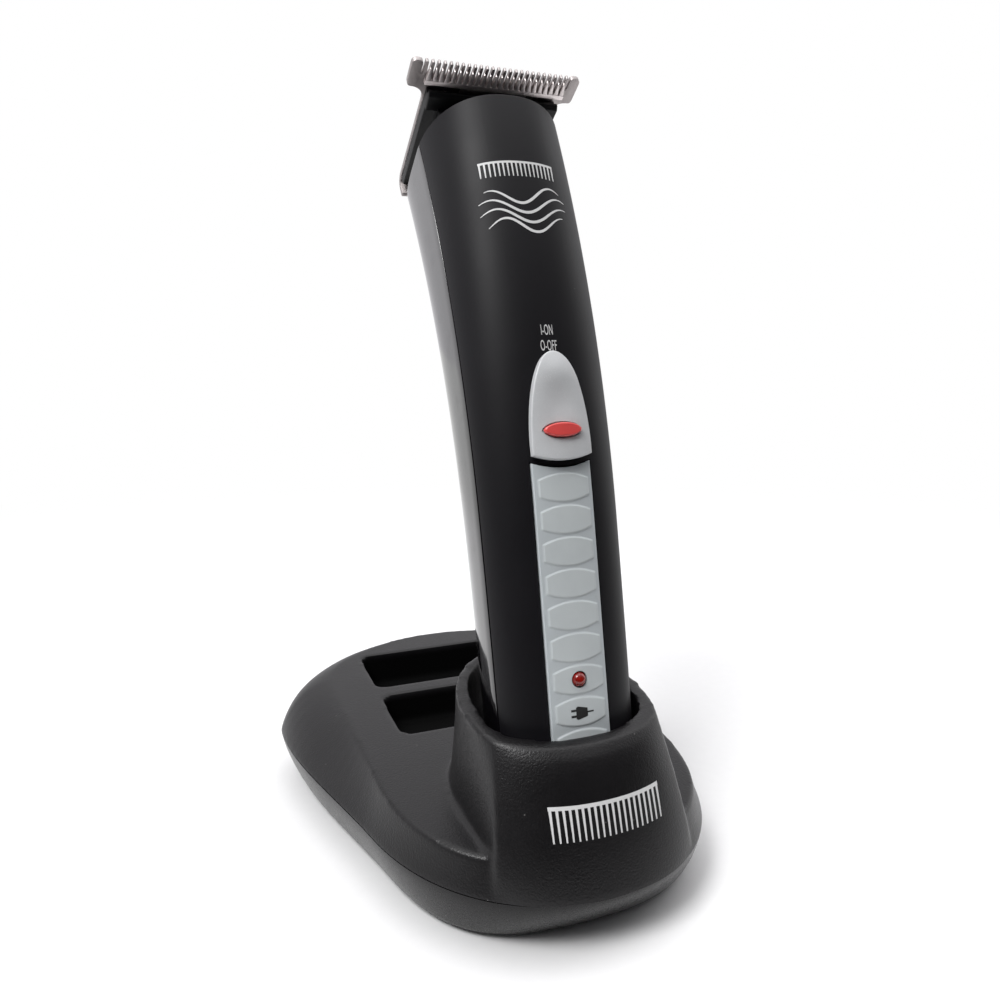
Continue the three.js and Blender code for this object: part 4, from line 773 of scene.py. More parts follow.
def section_sizes(s):
    share = np.maximum(0, np.asarray(s, float)) / BODY_LENGTH
    widest = SEAM_LOW + (SEAM_HIGH - SEAM_LOW) * share ** 2.2 + SEAM_TO_WIDEST
    half = BODY_HALF_WIDTH + (HEAD_HALF_WIDTH - BODY_HALF_WIDTH) * share
    depth = BODY_DEPTH + (HEAD_DEPTH - BODY_DEPTH) * share ** 1.9
    return widest, half, depth, 2.6 + 2.2 * share ** 2


def section_curve(angle, s, grow):
    """x and depth at angles round the section at s, grown outwards."""
    widest, half, depth, back_power = section_sizes(s)
    c, t = np.cos(angle), np.sin(angle)
    power = np.where(t < 0, FRONT_POWER, back_power)
    reach = np.where(t < 0, widest, depth - widest) + grow
    x = (half + grow) * np.sign(c) * np.abs(c) ** (2 / power)
    return x, widest + reach * np.sign(t) * np.abs(t) ** (2 / power)


def front_point(x, s, grow):
    """Points on the front of the handpiece, grown outwards."""
    widest, half, _, _ = section_sizes(s)
    inside = np.clip(1 - np.abs(x / (half + grow)) ** FRONT_POWER, 0, 1)
    return body_point(s, x, widest - (widest + grow) * inside ** (1 / FRONT_POWER))


def head_depth(points):
    return (points - HEEL) @ HEAD_IN


class Skin:
    """One face of a shell: columns of points that run from the bottom of the handpiece to its mouth."""

    def __init__(self, rear, grow, stops, counts):
        self.rear = rear
        self.grow = grow
        self.stops = stops
        self.marks = np.concatenate([[0], np.cumsum(counts)])
        self.columns = int(self.marks[-1]) + 1

    def row(self, s, inset=0.0):
        grow = self.grow - inset
        widest = float(section_sizes(s)[0])
        drop_to_seam = SEAM_TO_WIDEST + (-GAP / 2 if self.rear else GAP / 2)
        edge = math.asin((drop_to_seam / (widest + grow)) ** (FRONT_POWER / 2))
        first, last = (-edge, math.pi + edge) if self.rear else (math.pi + edge, 2 * math.pi - edge)
        x, depth = section_curve(np.linspace(first, last, 1600), s, grow)
        run = np.concatenate([[0], np.cumsum(np.hypot(np.diff(x), np.diff(depth)))])
        at = []
        for kind, value in self.stops:
            if kind == "start":
                at.append(value)
            elif kind == "end":
                at.append(run[-1] - value)
            else:
                at.append(np.interp(value, x, run))
        where = np.interp(np.arange(self.columns), self.marks, at)
        return np.interp(where, run, x), np.interp(where, run, depth)


EDGE_STEPS = (0.0, 0.08, 0.2, 0.4)
POCKET_X = STRIP_HALF_WIDTH + GAP
POCKET_LOW = STRIP_START - GAP
POCKET_HIGH = STRIP_END + GAP
STEP_WIDTH = 0.02


def edge_drop(distance, radius=LIP_ROUND):
    """How far a rounded edge falls away at a distance from it."""
    inside = np.clip(radius - np.asarray(distance, float), 0, radius)
    return radius - np.sqrt(radius ** 2 - inside ** 2)


def shell_stops(rear):
    start = [("start", step) for step in EDGE_STEPS]
    end = [("end", step) for step in reversed(EDGE_STEPS)]
    if rear:
        return start + end, [1, 1, 1, 132, 1, 1, 1]
    offsets = (0.5, 0.1, 0.0, -STEP_WIDTH)
    left = [("x", -POCKET_X - offset) for offset in offsets]
    right = [("x", POCKET_X + offset) for offset in reversed(offsets)]
    return start + left + right + end, [1, 1, 1, 22, 1, 1, 1, 24, 1, 1, 1, 22, 1, 1, 1]


def sag(x):
    return np.where(np.abs(x) < POCKET_X, STRIP_SAG * (1 - (x / POCKET_X) ** 2), 0)


def skin_points(skin, floor, radius, walls, flat_top, rise=40):
    """Points of a shell's face, row by row: across the floor, round its edge, up the walls, to the mouth."""
    rows = []
    middle = np.array([0.0, SEAM_LOW + (GAP / 2 if skin.rear else -GAP / 2)])
    x, depth = skin.row(floor, radius)
    for share in (0.0, 0.2, 0.4, 0.6, 0.8, 0.93):
        rows.append(body_point(floor, x * share, middle[1] + (depth - middle[1]) * share))
    for angle in np.radians(np.linspace(0, 90, 8))[:-1]:
        s = floor + radius * (1 - math.cos(angle))
        x, depth = skin.row(s, radius * (1 - math.sin(angle)))
        rows.append(body_point(s, x, depth))
    for s in walls:
        x, depth = skin.row(s)
        bent = s - sag(x) * np.interp(s, [60, POCKET_HIGH, 88], [0, 1, 0]) * (not skin.rear)
        rows.append(body_point(bent, x, depth))
    heights = np.arange(flat_top, 186, 1.0)
    table = np.array([skin.row(s) for s in heights])
    columns = body_point(heights[:, None], table[:, 0], table[:, 1])
    below = head_depth(columns)
    ends = np.array([np.interp(-MOUTH_DEPTH, -below[:, j], heights) for j in range(skin.columns)])
    marks = [ends - step for step in reversed(EDGE_STEPS)]
    shares = np.linspace(0, 1, rise)[1:-1]
    stops = [flat_top + (marks[0] - flat_top) * share for share in shares] + marks
    for s in stops:
        at = s - flat_top
        low = np.clip(np.floor(at).astype(int), 0, len(heights) - 2)
        part = at - low
        pick = np.arange(skin.columns)
        x, depth = (table[low, k, pick] * (1 - part) + table[low + 1, k, pick] * part for k in (0, 1))
        rows.append(body_point(s, x, depth))
    return np.array(rows)


def grid_normals(points):
    down = np.gradient(points, axis=0)
    along = np.gradient(points, axis=1)
    normal = np.cross(along, down)
    length = np.linalg.norm(normal, axis=2, keepdims=True)
    return np.where(length > 1e-9, normal / np.maximum(length, 1e-9), 0)


def walled(name, outer, inner):
    """A closed wall between two grids that start in a point and share their rows and columns."""
    rows, columns = outer.shape[:2]
    half = rows * columns
    faces = [grid_faces(rows, columns), grid_faces(rows, columns, half, True)]
    r = np.arange(rows - 1)
    for column, turned in ((0, False), (columns - 1, True)):
        a = r * columns + column
        strip = np.stack([a, a + columns, a + columns + half, a + half], axis=1)
        faces.append(strip[:, ::-1] if turned else strip)
    for row, turned in ((0, True), (rows - 1, False)):
        a = row * columns + np.arange(columns - 1)
        strip = np.stack([a, a + 1, a + 1 + half, a + half], axis=1)
        faces.append(strip[:, ::-1] if turned else strip)
    points = np.concatenate([outer.reshape(-1, 3), inner.reshape(-1, 3)])
    return new_piece(name, points, np.concatenate(faces))


def shell_body(name, rear):
    """Front or rear shell with rounded free edges, before its holes are cut."""
    stops, counts = shell_stops(rear)
    marked = [POCKET_LOW - 0.1, POCKET_LOW, POCKET_LOW + STEP_WIDTH,
              POCKET_HIGH - STEP_WIDTH, POCKET_HIGH, POCKET_HIGH + 0.1]
    walls = [FOOT_ROUND] + ([] if rear else marked)
    for s in np.arange(FOOT_ROUND + 1.2, 120, 1.3):
        if rear or min(abs(s - m) for m in marked) > 0.4:
            walls.append(s)
    walls = sorted(walls)
    flat_top = 121.0
    outer = skin_points(Skin(rear, 0.0, stops, counts), 0.0, FOOT_ROUND, walls, flat_top)
    low = SHELL_WALL + 1.0
    inner_walls = [low + (s - FOOT_ROUND) * (flat_top - 1 - low) / (flat_top - 1 - FOOT_ROUND) for s in walls]
    inner = skin_points(Skin(rear, -SHELL_WALL, stops, counts), SHELL_WALL, 1.0, inner_walls, flat_top)
    normal = grid_normals(outer)
    axis = body_point(0, 0, 12)
    if np.sum(normal[20, outer.shape[1] // 2] * (outer[20, outer.shape[1] // 2] - axis)[:]) < 0:
        normal = -normal
    rows, columns = outer.shape[:2]
    floor_rows = 6
    falls = np.zeros((rows, columns))
    side = edge_drop(np.array(EDGE_STEPS))
    falls[:, :4] = np.maximum(falls[:, :4], side)
    falls[:, -4:] = np.maximum(falls[:, -4:], side[::-1])
    falls[-4:] = np.maximum(falls[-4:], side[::-1][:, None])
    falls[:floor_rows] *= np.array((0.0, 0.2, 0.4, 0.6, 0.8, 0.93))[:, None]
    if not rear:
        first_wall = floor_rows + 7
        heights = np.array(walls)
        in_rows = (heights > POCKET_LOW + STEP_WIDTH / 2) & (heights < POCKET_HIGH - STEP_WIDTH / 2)
        on_rows = (heights >= POCKET_LOW) & (heights <= POCKET_HIGH)
        x = outer[first_wall, :, 0]
        in_columns = np.abs(x) < POCKET_X - STEP_WIDTH / 2
        on_columns = np.abs(x) < POCKET_X + STEP_WIDTH / 2
        block = falls[first_wall:first_wall + len(walls)]
        block[np.ix_(on_rows, on_columns)] = 0.12
        block[np.ix_(in_rows, in_columns)] = POCKET_DEPTH
    return walled(name, outer - normal * falls[..., None], inner)


def through(name, radius, s, start, end, facets=32):
    """A rod through the straight part of the handpiece at height s, from front to back."""
    return rod(name, radius, body_point(s, 0, 0), BODY_IN, start, end, facets)


def screw_floor(s):
    back = max(0.0, s - STRAIGHT_LENGTH)
    return float(section_sizes(s)[2]) - back ** 2 / (2 * BEND_RADIUS)


def switch_frame():
    """Local frame of the switch: x across, y inwards and z up along the handpiece."""
    station = SWITCH_AT + MARK_AT
    lean = float(lean_at(station))
    return frame_matrix((1, 0, 0), (0, math.cos(lean), -math.sin(lean)),
                        (0, math.sin(lean), math.cos(lean)), body_point(station, 0, 0))


# ---------- pieces that lie on the front ----------
def cushion(name, outline, middle, station, low, high, edge, crown):
    """A raised piece on the front of the handpiece, with rounded edges and a shaped top."""
    outline = np.asarray(outline, float)
    middle = np.asarray(middle, float)
    spoke = middle - outline
    reach = np.linalg.norm(spoke, axis=1, keepdims=True)
    rings = []

    def ring(inset, grow):
        flat = outline + spoke / reach * np.minimum(inset, reach * 0.999)
        rings.append(front_point(flat[:, 0], station + flat[:, 1], grow(flat[:, 0], flat[:, 1])))

    def shared(share, grow):
        start = outline + spoke / reach * np.minimum(edge, reach * 0.9)
        flat = start + (middle - start) * share
        rings.append(front_point(flat[:, 0], station + flat[:, 1], grow(flat[:, 0], flat[:, 1])))

    def base(x, h):
        return np.full(len(outline), low)

    for share in (0.97, 0.7, 0.35, 0.0):
        shared(share, base)
    ring(0.0, base)
    for angle in np.radians(np.linspace(0, 90, 9)):
        inset = edge * (1 - math.cos(angle))
        fall = edge * (1 - math.sin(angle))
        ring(inset, lambda x, h: high + crown(x, h) - fall)
    for share in np.linspace(0, 1, 26)[1:-1]:
        shared(share, lambda x, h: high + crown(x, h))
    return loft(name, rings)


def bezier(controls, count):
    t = np.linspace(0, 1, count + 1)[:, None]
    p = [np.asarray(c, float) for c in controls]
    if len(p) == 3:
        return (1 - t) ** 2 * p[0] + 2 * t * (1 - t) * p[1] + t ** 2 * p[2]
    return (1 - t) ** 3 * p[0] + 3 * t * (1 - t) ** 2 * p[1] + 3 * t ** 2 * (1 - t) * p[2] + t ** 3 * p[3]


def button_outline():
    half, low, top = STRIP_HALF_WIDTH, -MARK_AT, SWITCH_LENGTH - MARK_AT
    edge = bezier([(-half, low), (0, low - 2 * STRIP_SAG), (half, low)], 36)
    right = bezier([(half, low), (half + 0.3, low + SWITCH_LENGTH * 0.45), (half * 0.7, top), (0, top)], 60)
    left = right[::-1] * (-1, 1)
    return np.concatenate([edge[:-1], right[:-1], left[:-1]])


def lens_outline(half, rise, count=80):
    """An oval that is slightly pointed at its ends."""
    angle = np.arange(count) * 2 * math.pi / count
    fall = np.sign(np.sin(angle)) * np.abs(np.sin(angle)) ** 1.1
    return np.stack([half * np.cos(angle), rise * fall], axis=1)


def no_crown(x, h):
    return np.zeros_like(x)


def button_crown(x, h):
    """Thumb rest: a shallow dish above the red insert and a slight swell towards both ends."""
    dish = -0.55 * np.exp(-(x / 3.6) ** 2 - ((h - 5.2) / 3.8) ** 2)
    swell = 0.3 * np.exp(-((h - 12.5) / 3.0) ** 2 - (x / 3.0) ** 2)
    nose = -0.8 * np.clip((h - 9.5) / 7.0, 0, 1) ** 2
    sides = -0.4 * (x / STRIP_HALF_WIDTH) ** 2
    return dish + swell + nose + sides


def soft_step(value, low, high):
    t = np.clip((value - low) / (high - low), 0, 1)
    return t * t * (3 - 2 * t)


def pad_mask(x, s):
    """1 on the lens-edged pads of the grip strip and 0 between them."""
    tall = PAD_SIDE_HEIGHT + PAD_BOW * (1 - np.clip(np.abs(x) / PAD_HALF_WIDTH, 0, 1) ** 2)
    first = PAD_TOP - PAD_SIDE_HEIGHT - PAD_BOW
    turn = (s - first) / PAD_PITCH
    from_middle = np.abs(turn - np.minimum(np.round(turn), 0)) * PAD_PITCH
    inside = np.minimum(tall - from_middle, PAD_HALF_WIDTH - np.abs(x))
    return soft_step(inside, -0.16, 0.22)


# ---------- printing ----------
def stroke(points, widths, step=0.4):
    """A ribbon of four-sided cells along a line in x and height."""
    points = np.asarray(points, float)
    run = np.concatenate([[0], np.cumsum(np.linalg.norm(np.diff(points, axis=0), axis=1))])
    count = max(2, int(run[-1] / step) + 1)
    at = np.linspace(0, run[-1], count)
    line = np.stack([np.interp(at, run, points[:, k]) for k in (0, 1)], axis=1)
    wide = np.interp(at, run, np.broadcast_to(widths, (len(points),)))
    tangent = np.gradient(line, axis=0)
    tangent /= np.linalg.norm(tangent, axis=1, keepdims=True)
    side = np.stack([-tangent[:, 1], tangent[:, 0]], axis=1) * wide[:, None] / 2
    return np.stack([line - side, line, line + side], axis=1)


def printed(name, strokes, place, finish, body, thickness=0.03):
    """Ink a few hundredths of a millimetre thick, laid on a surface by place(x, height)."""
    points, faces, start = [], [], 0
    for cells in strokes:
        rows, columns = cells.shape[:2]
        flat = cells.reshape(-1, 2)
        points.append(place(flat[:, 0], flat[:, 1]))
        faces.append(grid_faces(rows, columns, start))
        start += rows * columns
    return inked(name, np.concatenate(points), np.concatenate(faces), finish, body, thickness)


def inked(name, points, faces, finish, body, thickness):
    mesh = bpy.data.meshes.new(name)
    mesh.from_pydata((points * MM).tolist(), [], faces.tolist() if isinstance(faces, np.ndarray) else faces)
    piece = bpy.data.objects.new(name, mesh)
    bpy.context.scene.collection.objects.link(piece)
    solid = piece.modifiers.new("Thickness", "SOLIDIFY")
    solid.thickness = thickness * MM
    solid.offset = 0
    settle(piece)
    return dress(weld(piece), finish, body)


def lettering(name, text, size, narrow, place, finish, body):
    """A word in Blender's own plain typeface, drawn narrow and laid on a surface."""
    curve = bpy.data.curves.new(name, "FONT")
    curve.body = text
    curve.size = size
    curve.align_x = "CENTER"
    curve.align_y = "CENTER"
    curve.space_character = 1.05
    holder = bpy.data.objects.new(name + "_source", curve)
    bpy.context.scene.collection.objects.link(holder)
    graph = bpy.context.evaluated_depsgraph_get()
    graph.update()
    mesh = bpy.data.meshes.new_from_object(holder.evaluated_get(graph))
    flat = np.array([tuple(v.co)[:2] for v in mesh.vertices])
    faces = [list(p.vertices) for p in mesh.polygons]
    drop(holder)
    return inked(name, place(flat[:, 0] * narrow, flat[:, 1]), faces, finish, body, 0.03)


def comb_strokes(width, height, teeth, bar):
    """Generic comb sign: a bar with teeth below it."""
    half = width / 2
    strokes = [stroke([(-half, height / 2), (half, height / 2)], bar)]
    for x in np.linspace(-half + bar / 2, half - bar / 2, teeth):
        strokes.append(stroke([(x, height / 2), (x, -height / 2)], [bar * 0.8, bar * 0.45]))
    return strokes


def wave_strokes(width, height, count):
    """Generic strands of hair: parallel waves that thin towards their ends."""
    strokes = []
    t = np.linspace(0, 1, 60)
    for i in range(count):
        level = (i - (count - 1) / 2) * height / count
        reach = 1 - 0.12 * abs(i - (count - 1) / 2)
        x = (t - 0.5) * width * reach
        y = level + height * 0.2 * np.sin(2 * math.pi * (t * 1.25 + 0.06 * i)) + height * 0.12 * (t - 0.5)
        thickness = 0.12 + 0.5 * np.sin(math.pi * t) ** 0.8
        strokes.append(stroke(np.stack([x, y], axis=1), thickness))
    return strokes


# ---------- stand form ----------
def half_plan(plan, steps):
    nose, flank_x, flank_y = plan["nose"], plan["flank_x"], plan["flank_y"]
    corner_x, corner_y, rear = plan["corner_x"], plan["corner_y"], plan["rear"]
    front = bezier([(0, nose), (plan["bulge"], nose),
                    (flank_x - (corner_x - flank_x) * 0.45, flank_y - (corner_y - flank_y) * 0.42),
                    (flank_x, flank_y)], 2 * steps)
    flank = bezier([(flank_x, flank_y),
                    (flank_x + (corner_x - flank_x) * 0.36, flank_y + (corner_y - flank_y) * 0.33),
                    (corner_x, corner_y - (corner_y - flank_y) * 0.33), (corner_x, corner_y)], steps)
    back = bezier([(corner_x, corner_y), (corner_x * 0.98, corner_y + (rear - corner_y) * 0.45),
                   (corner_x * 0.55, rear), (0, rear)], 2 * steps)
    return np.concatenate([front, flank[1:], back[1:]])


def whole_ring(half, height):
    """Mirrors a half outline about X = 0 and gives it its height."""
    flat = np.concatenate([half, half[-2:0:-1] * (-1, 1)])
    z = height(flat[:, 0], flat[:, 1]) if callable(height) else np.full(len(flat), height)
    return np.column_stack([flat, z])


def parting_plan(front, side, rear):
    return {
        "nose": STAND_FRONT + front, "flank_x": STAND_WIDTH / 2 - 12 - side, "flank_y": STAND_FRONT + 37,
        "corner_x": STAND_WIDTH / 2 - side, "corner_y": STAND_REAR - 30,
        "rear": STAND_REAR - rear, "bulge": 19,
    }


def crease_plan(wall):
    return {
        "nose": STAND_FRONT + 4 + wall, "flank_x": STAND_WIDTH / 2 - BAND_INSET - 1 - wall * 0.8,
        "flank_y": STAND_FRONT + 44, "corner_x": STAND_WIDTH / 2 - BAND_INSET - wall * 0.8,
        "corner_y": STAND_REAR - 26, "rear": STAND_REAR - 2 - wall, "bulge": 25,
    }


def deck_height(y):
    return DECK + DECK_RISE * y


def base_form(name, wall, bottom, steps=14, levels=12):
    line = whole_ring(half_plan(parting_plan(wall, wall, wall), steps), PARTING)
    deck = whole_ring(half_plan(crease_plan(wall), steps), lambda x, y: deck_height(y) - wall)
    x, y = line[:, 0], line[:, 1]
    bulge = BAND_BULGE * soft_step(y, -10, 40) * np.minimum(1, np.abs(x) / 35) * 0.7
    outwards = line * (1, 1, 0)
    outwards /= np.linalg.norm(outwards, axis=1, keepdims=True)
    lift = bulge[:, None] * (outwards + (0, 0, 1))
    rings = [line * (1, 1, 0) + (0, 0, bottom)]
    for t in np.linspace(0, 1, levels):
        rings.append(line + (deck - line) * t + lift * 4 * t * (1 - t))
    return loft(name, rings)


def tower_plan(share, wall, steps):
    bow = 1 - (1 - share) ** 1.7
    front = STAND_FRONT + (RIM_FRONT - STAND_FRONT) * (1 - (1 - share) ** 0.62) + wall
    crease = (CREASE_X - 3.6 * share ** 1.4 - wall, STAND_FRONT + 7.4 + 10.3 * share ** 1.5 + wall * 0.6)
    side_x = TOWER_FOOT_HALF_WIDTH + (RIM_HALF_WIDTH - TOWER_FOOT_HALF_WIDTH) * bow - wall
    side_y = STAND_FRONT + 30
    back = STAND_FRONT + 58.5 - 4.5 * bow - wall
    face = bezier([(0, front), (crease[0] * 0.62, front), crease], 2 * steps)
    flank = bezier([crease, (side_x, crease[1] + (side_y - crease[1]) * 0.35), (side_x, side_y)], 2 * steps)
    rear = bezier([(side_x, side_y), (side_x, side_y + (back - side_y) * 0.5), (side_x * 0.6, back),
                   (0, back)], 2 * steps)
    return np.concatenate([face, flank[1:], rear[1:]])


def rim_height(y):
    return RIM_HEIGHT + RIM_RISE * (y - RIM_FRONT)


def tower_form(name, wall, bottom, steps=10, levels=18):
    rings = [whole_ring(tower_plan(0, wall, steps), bottom)]
    for share in np.linspace(0, 1, levels):
        def height(x, y, share=share):
            return PARTING + (rim_height(y) - wall - PARTING) * share
        rings.append(whole_ring(tower_plan(share, wall, steps), height))
    return loft(name, rings)


def socket_form(name, grow, floor, count=96):
    """Hollow for the handpiece, straight low down and flaring softly at its mouth."""
    widest, half, depth, back_power = (float(v) for v in section_sizes(0))
    out = SOCKET_CLEARANCE + grow
    rings = []
    angle = np.arange(count) * 2 * math.pi / count
    c, t = np.cos(angle), np.sin(angle)
    power = np.where(t < 0, FRONT_POWER, back_power)
    for s in (-floor, 6, 12, 14, 16, 18, 20, 22, 24, 60):
        flare = MOUTH_FLARE * (soft_step(s, 11, 25) + max(0, s - 24) / 36)
        reach = np.where(t < 0, widest + out + flare * 0.4, depth - widest + out + flare * 3.2)
        x = (half + out + flare) * np.sign(c) * np.abs(c) ** (2 / power)
        rings.append(body_point(s, x, widest + reach * np.sign(t) * np.abs(t) ** (2 / power)))
    return loft(name, rings)


def well_form(name, rear, grow, bottom, top):
    half, back, corner = WELL_HALF_WIDTH + grow, rear + grow, WELL_CORNER + grow
    front = rear - WELL_LENGTH - grow
    ring = []
    turns = ((half - corner, front + corner, -90), (half - corner, back - corner, 0),
             (-half + corner, back - corner, 90), (-half + corner, front + corner, 180))
    for x, y, start in turns:
        for angle in np.radians(start + np.linspace(0, 90, 9)):
            ring.append((x + corner * math.cos(angle), y + corner * math.sin(angle)))
    return loft(name, [[(x, y, z) for x, y in ring] for z in (bottom, top)])


def bars(name, places, radius, bottom, top):
    """Upright round bars at several places, as one object."""
    return joined([rod(name, radius, (x, y, 0), (0, 0, 1), bottom, top, 28) for x, y in places])


# ---------- settings ----------
def color_setting(label, text, default):
    return bpy.props.FloatVectorProperty(name=label, description=text, subtype="COLOR", size=3,
                                         min=0.0, max=1.0, default=default)


class TrimmerColors(bpy.types.PropertyGroup):
    """Colours of the trimmer and its stand."""

    stand: color_setting("Stand", "Grained top shell of the stand", (0.0042, 0.0038, 0.0043))
    pan: color_setting("Pan", "Bottom pan of the stand", (0.0045, 0.0042, 0.0046))
    front: color_setting("Front", "Satin front shell", (0.0045, 0.0041, 0.0054))
    rear: color_setting("Rear", "Gloss rear shell", (0.003, 0.0026, 0.0034))
    grip: color_setting("Grip", "Grip strip between its pads", (0.47, 0.505, 0.52))
    pad: color_setting("Pads", "Raised pads of the grip strip", (0.52, 0.555, 0.56))
    button: color_setting("Switch", "Sliding switch button", (0.53, 0.54, 0.55))
    mark: color_setting("Switch insert", "Red insert of the switch", (0.7, 0.075, 0.07))
    lamp: color_setting("Lamp", "Charge lamp", (0.26, 0.009, 0.005))
    steel: color_setting("Steel", "Blade steel", (0.4, 0.37, 0.365))


class TrimmerSizes(bpy.types.PropertyGroup):
    """Fine sizes of the visible pieces."""

    pad_height: bpy.props.FloatProperty(
        name="Pad height", description="How far the grip pads stand up", default=0.2 * MM,
        min=0.0, max=MM, subtype="DISTANCE", unit="LENGTH", precision=5)
    stand_voxel: bpy.props.FloatProperty(
        name="Stand fineness", description="Cell size that blends the stand's edges", default=0.62 * MM,
        min=0.3 * MM, max=3 * MM, subtype="DISTANCE", unit="LENGTH", precision=5)
    blend_passes: bpy.props.IntProperty(
        name="Edge blending", description="Smoothing passes over the stand's edges", default=4, min=0, max=40)
    edge_ease: bpy.props.FloatProperty(
        name="Metal edge", description="Width of the eased edges on the blades", default=0.1 * MM,
        min=0.0, max=MM, subtype="DISTANCE", unit="LENGTH", precision=5)


class TrimmerStudio(bpy.types.PropertyGroup):
    """Lights and camera."""

    lens: bpy.props.FloatProperty(name="Lens", description="Focal length on a 36 mm sensor", default=29.88,
                                  min=5.0, max=300.0, subtype="DISTANCE_CAMERA")
    key: bpy.props.FloatProperty(name="Key light", description="Softbox at the upper left", default=8.0,
                                 min=0.0, subtype="POWER", unit="POWER")
    fill: bpy.props.FloatProperty(name="Fill light", description="Softbox at the right", default=0.8,
                                  min=0.0, subtype="POWER", unit="POWER")
    top: bpy.props.FloatProperty(name="Top light", description="Wide softbox overhead", default=4.0,
                                 min=0.0, subtype="POWER", unit="POWER")
    floor_glow: bpy.props.FloatProperty(name="Floor glow", description="Brightness of the sheet far away",
                                        default=1.0, min=0.0)
    surroundings: bpy.props.FloatProperty(name="Surroundings", description="Brightness of the white room",
                                          default=0.9, min=0.0)


# ---------- operators ----------
class StandShellOperator(bpy.types.Operator):
    """Builds the top shell of the stand with its blended tower, socket and two wells."""

    bl_idname = "trimmer.stand_shell"
    bl_label = "Stand top shell"

    def execute(self, context):
        sizes = context.scene.trimmer_sizes
        below = PARTING - 5
        shell = base_form("stand_shell", 0, below)
        combine(shell, tower_form("tower", 0, below), "UNION")
        combine(shell, socket_form("socket", 0, SOCKET_CLEARANCE), "DIFFERENCE")
        wells = joined([well_form("wells", rear, 0, WELL_FLOOR, FAR) for rear in WELL_REARS])
        combine(shell, wells, "DIFFERENCE")
        remesh = shell.modifiers.new("Blend", "REMESH")
        remesh.mode = "VOXEL"
        remesh.voxel_size = sizes.stand_voxel
        smooth = shell.modifiers.new("Soften", "SMOOTH")
        smooth.factor = 0.5
        smooth.iterations = sizes.blend_passes
        settle(shell)
        combine(shell, box_piece("below", (-FAR, -FAR, -FAR), (FAR, FAR, PARTING)), "DIFFERENCE")

        hollow = base_form("hollow", STAND_WALL, 0, 8, 5)
        combine(hollow, tower_form("tower_hollow", STAND_WALL, 0, 6, 8), "UNION")
        socket_wall = socket_form("socket_wall", STAND_WALL, SOCKET_CLEARANCE + SOCKET_FLOOR, 48)
        combine(hollow, socket_wall, "DIFFERENCE")
        walls = [well_form("well_walls", rear, PAN_WALL, WELL_FLOOR - PAN_WALL, FAR) for rear in WELL_REARS]
        for wall in walls:
            combine(hollow, wall, "DIFFERENCE")
        combine(hollow, bars("bosses", STAND_SCREWS, BOSS_RADIUS, -FAR, FAR), "DIFFERENCE")
        combine(shell, hollow, "DIFFERENCE")
        posts = bars("posts", STAND_SCREWS, BOSS_RADIUS, BOSS_FOOT, PARTING + 2)
        combine(shell, posts, "UNION")
        combine(shell, bars("bores", STAND_SCREWS, STAND_SCREW_RADIUS + GAP, -1, BOSS_BORE_TOP), "DIFFERENCE")
        pins = joined([rod("pins", 1.3, body_point(0, side * CONTACT_X, BODY_DEPTH / 2), BODY_UP, -12, 1)
                       for side in SIDES])
        combine(shell, pins, "DIFFERENCE")
        dress(weld(shell), FINISHES["stand"], "stand", ["stand_top_shell"], "stand_shell")
        return {"FINISHED"}


class StandPanOperator(bpy.types.Operator):
    """Builds the bottom pan with its rounded lower edge, screw bores and foot pockets."""

    bl_idname = "trimmer.stand_pan"
    bl_label = "Stand bottom pan"

    def execute(self, context):
        def cup(wall, bottom, count):
            rings = []
            for share in np.linspace(0, 1, count) ** 1.3:
                draft = 0.05 + 1.2 * (1 - share) ** PAN_DRAFT_POWER
                height = share * (PARTING - GAP - bottom)
                corner = float(edge_drop(height, PAN_EDGE)) if height < PAN_EDGE else 0.0
                side = wall + draft * PAN_DRAFT_SIDE + corner
                plan = parting_plan(wall + draft * PAN_DRAFT_FRONT + corner, side, side)
                rings.append(whole_ring(half_plan(plan, 14), bottom + height))
            return rings
        pan = loft("stand_pan", cup(0, FOOT_HEIGHT, 26) + cup(PAN_WALL, FOOT_HEIGHT + PAN_WALL, 10)[::-1])
        combine(pan, bars("posts", STAND_SCREWS, BOSS_RADIUS, FOOT_HEIGHT + 1, BOSS_FOOT - GAP), "UNION")
        head = STAND_SCREW_HEAD_TOP + GAP
        combine(pan, bars("bores", STAND_SCREWS, STAND_SCREW_RADIUS + GAP, 0, BOSS_FOOT), "DIFFERENCE")
        combine(pan, bars("sinks", STAND_SCREWS, STAND_SCREW_HEAD + GAP, 0, head), "DIFFERENCE")
        pockets = bars("pockets", STAND_FEET, FOOT_RADIUS + GAP, 0, FOOT_HEIGHT + FOOT_SUNK + GAP)
        combine(pan, pockets, "DIFFERENCE")
        opening = rod("opening", JACK_NOSE_RADIUS + GAP, (0, JACK_REAR, JACK_MIDDLE), (0, 1, 0), 0, 20)
        combine(pan, opening, "DIFFERENCE")
        dress(weld(pan), FINISHES["pan"], "stand", ["stand_bottom_pan"], "stand_pan")
        return {"FINISHED"}


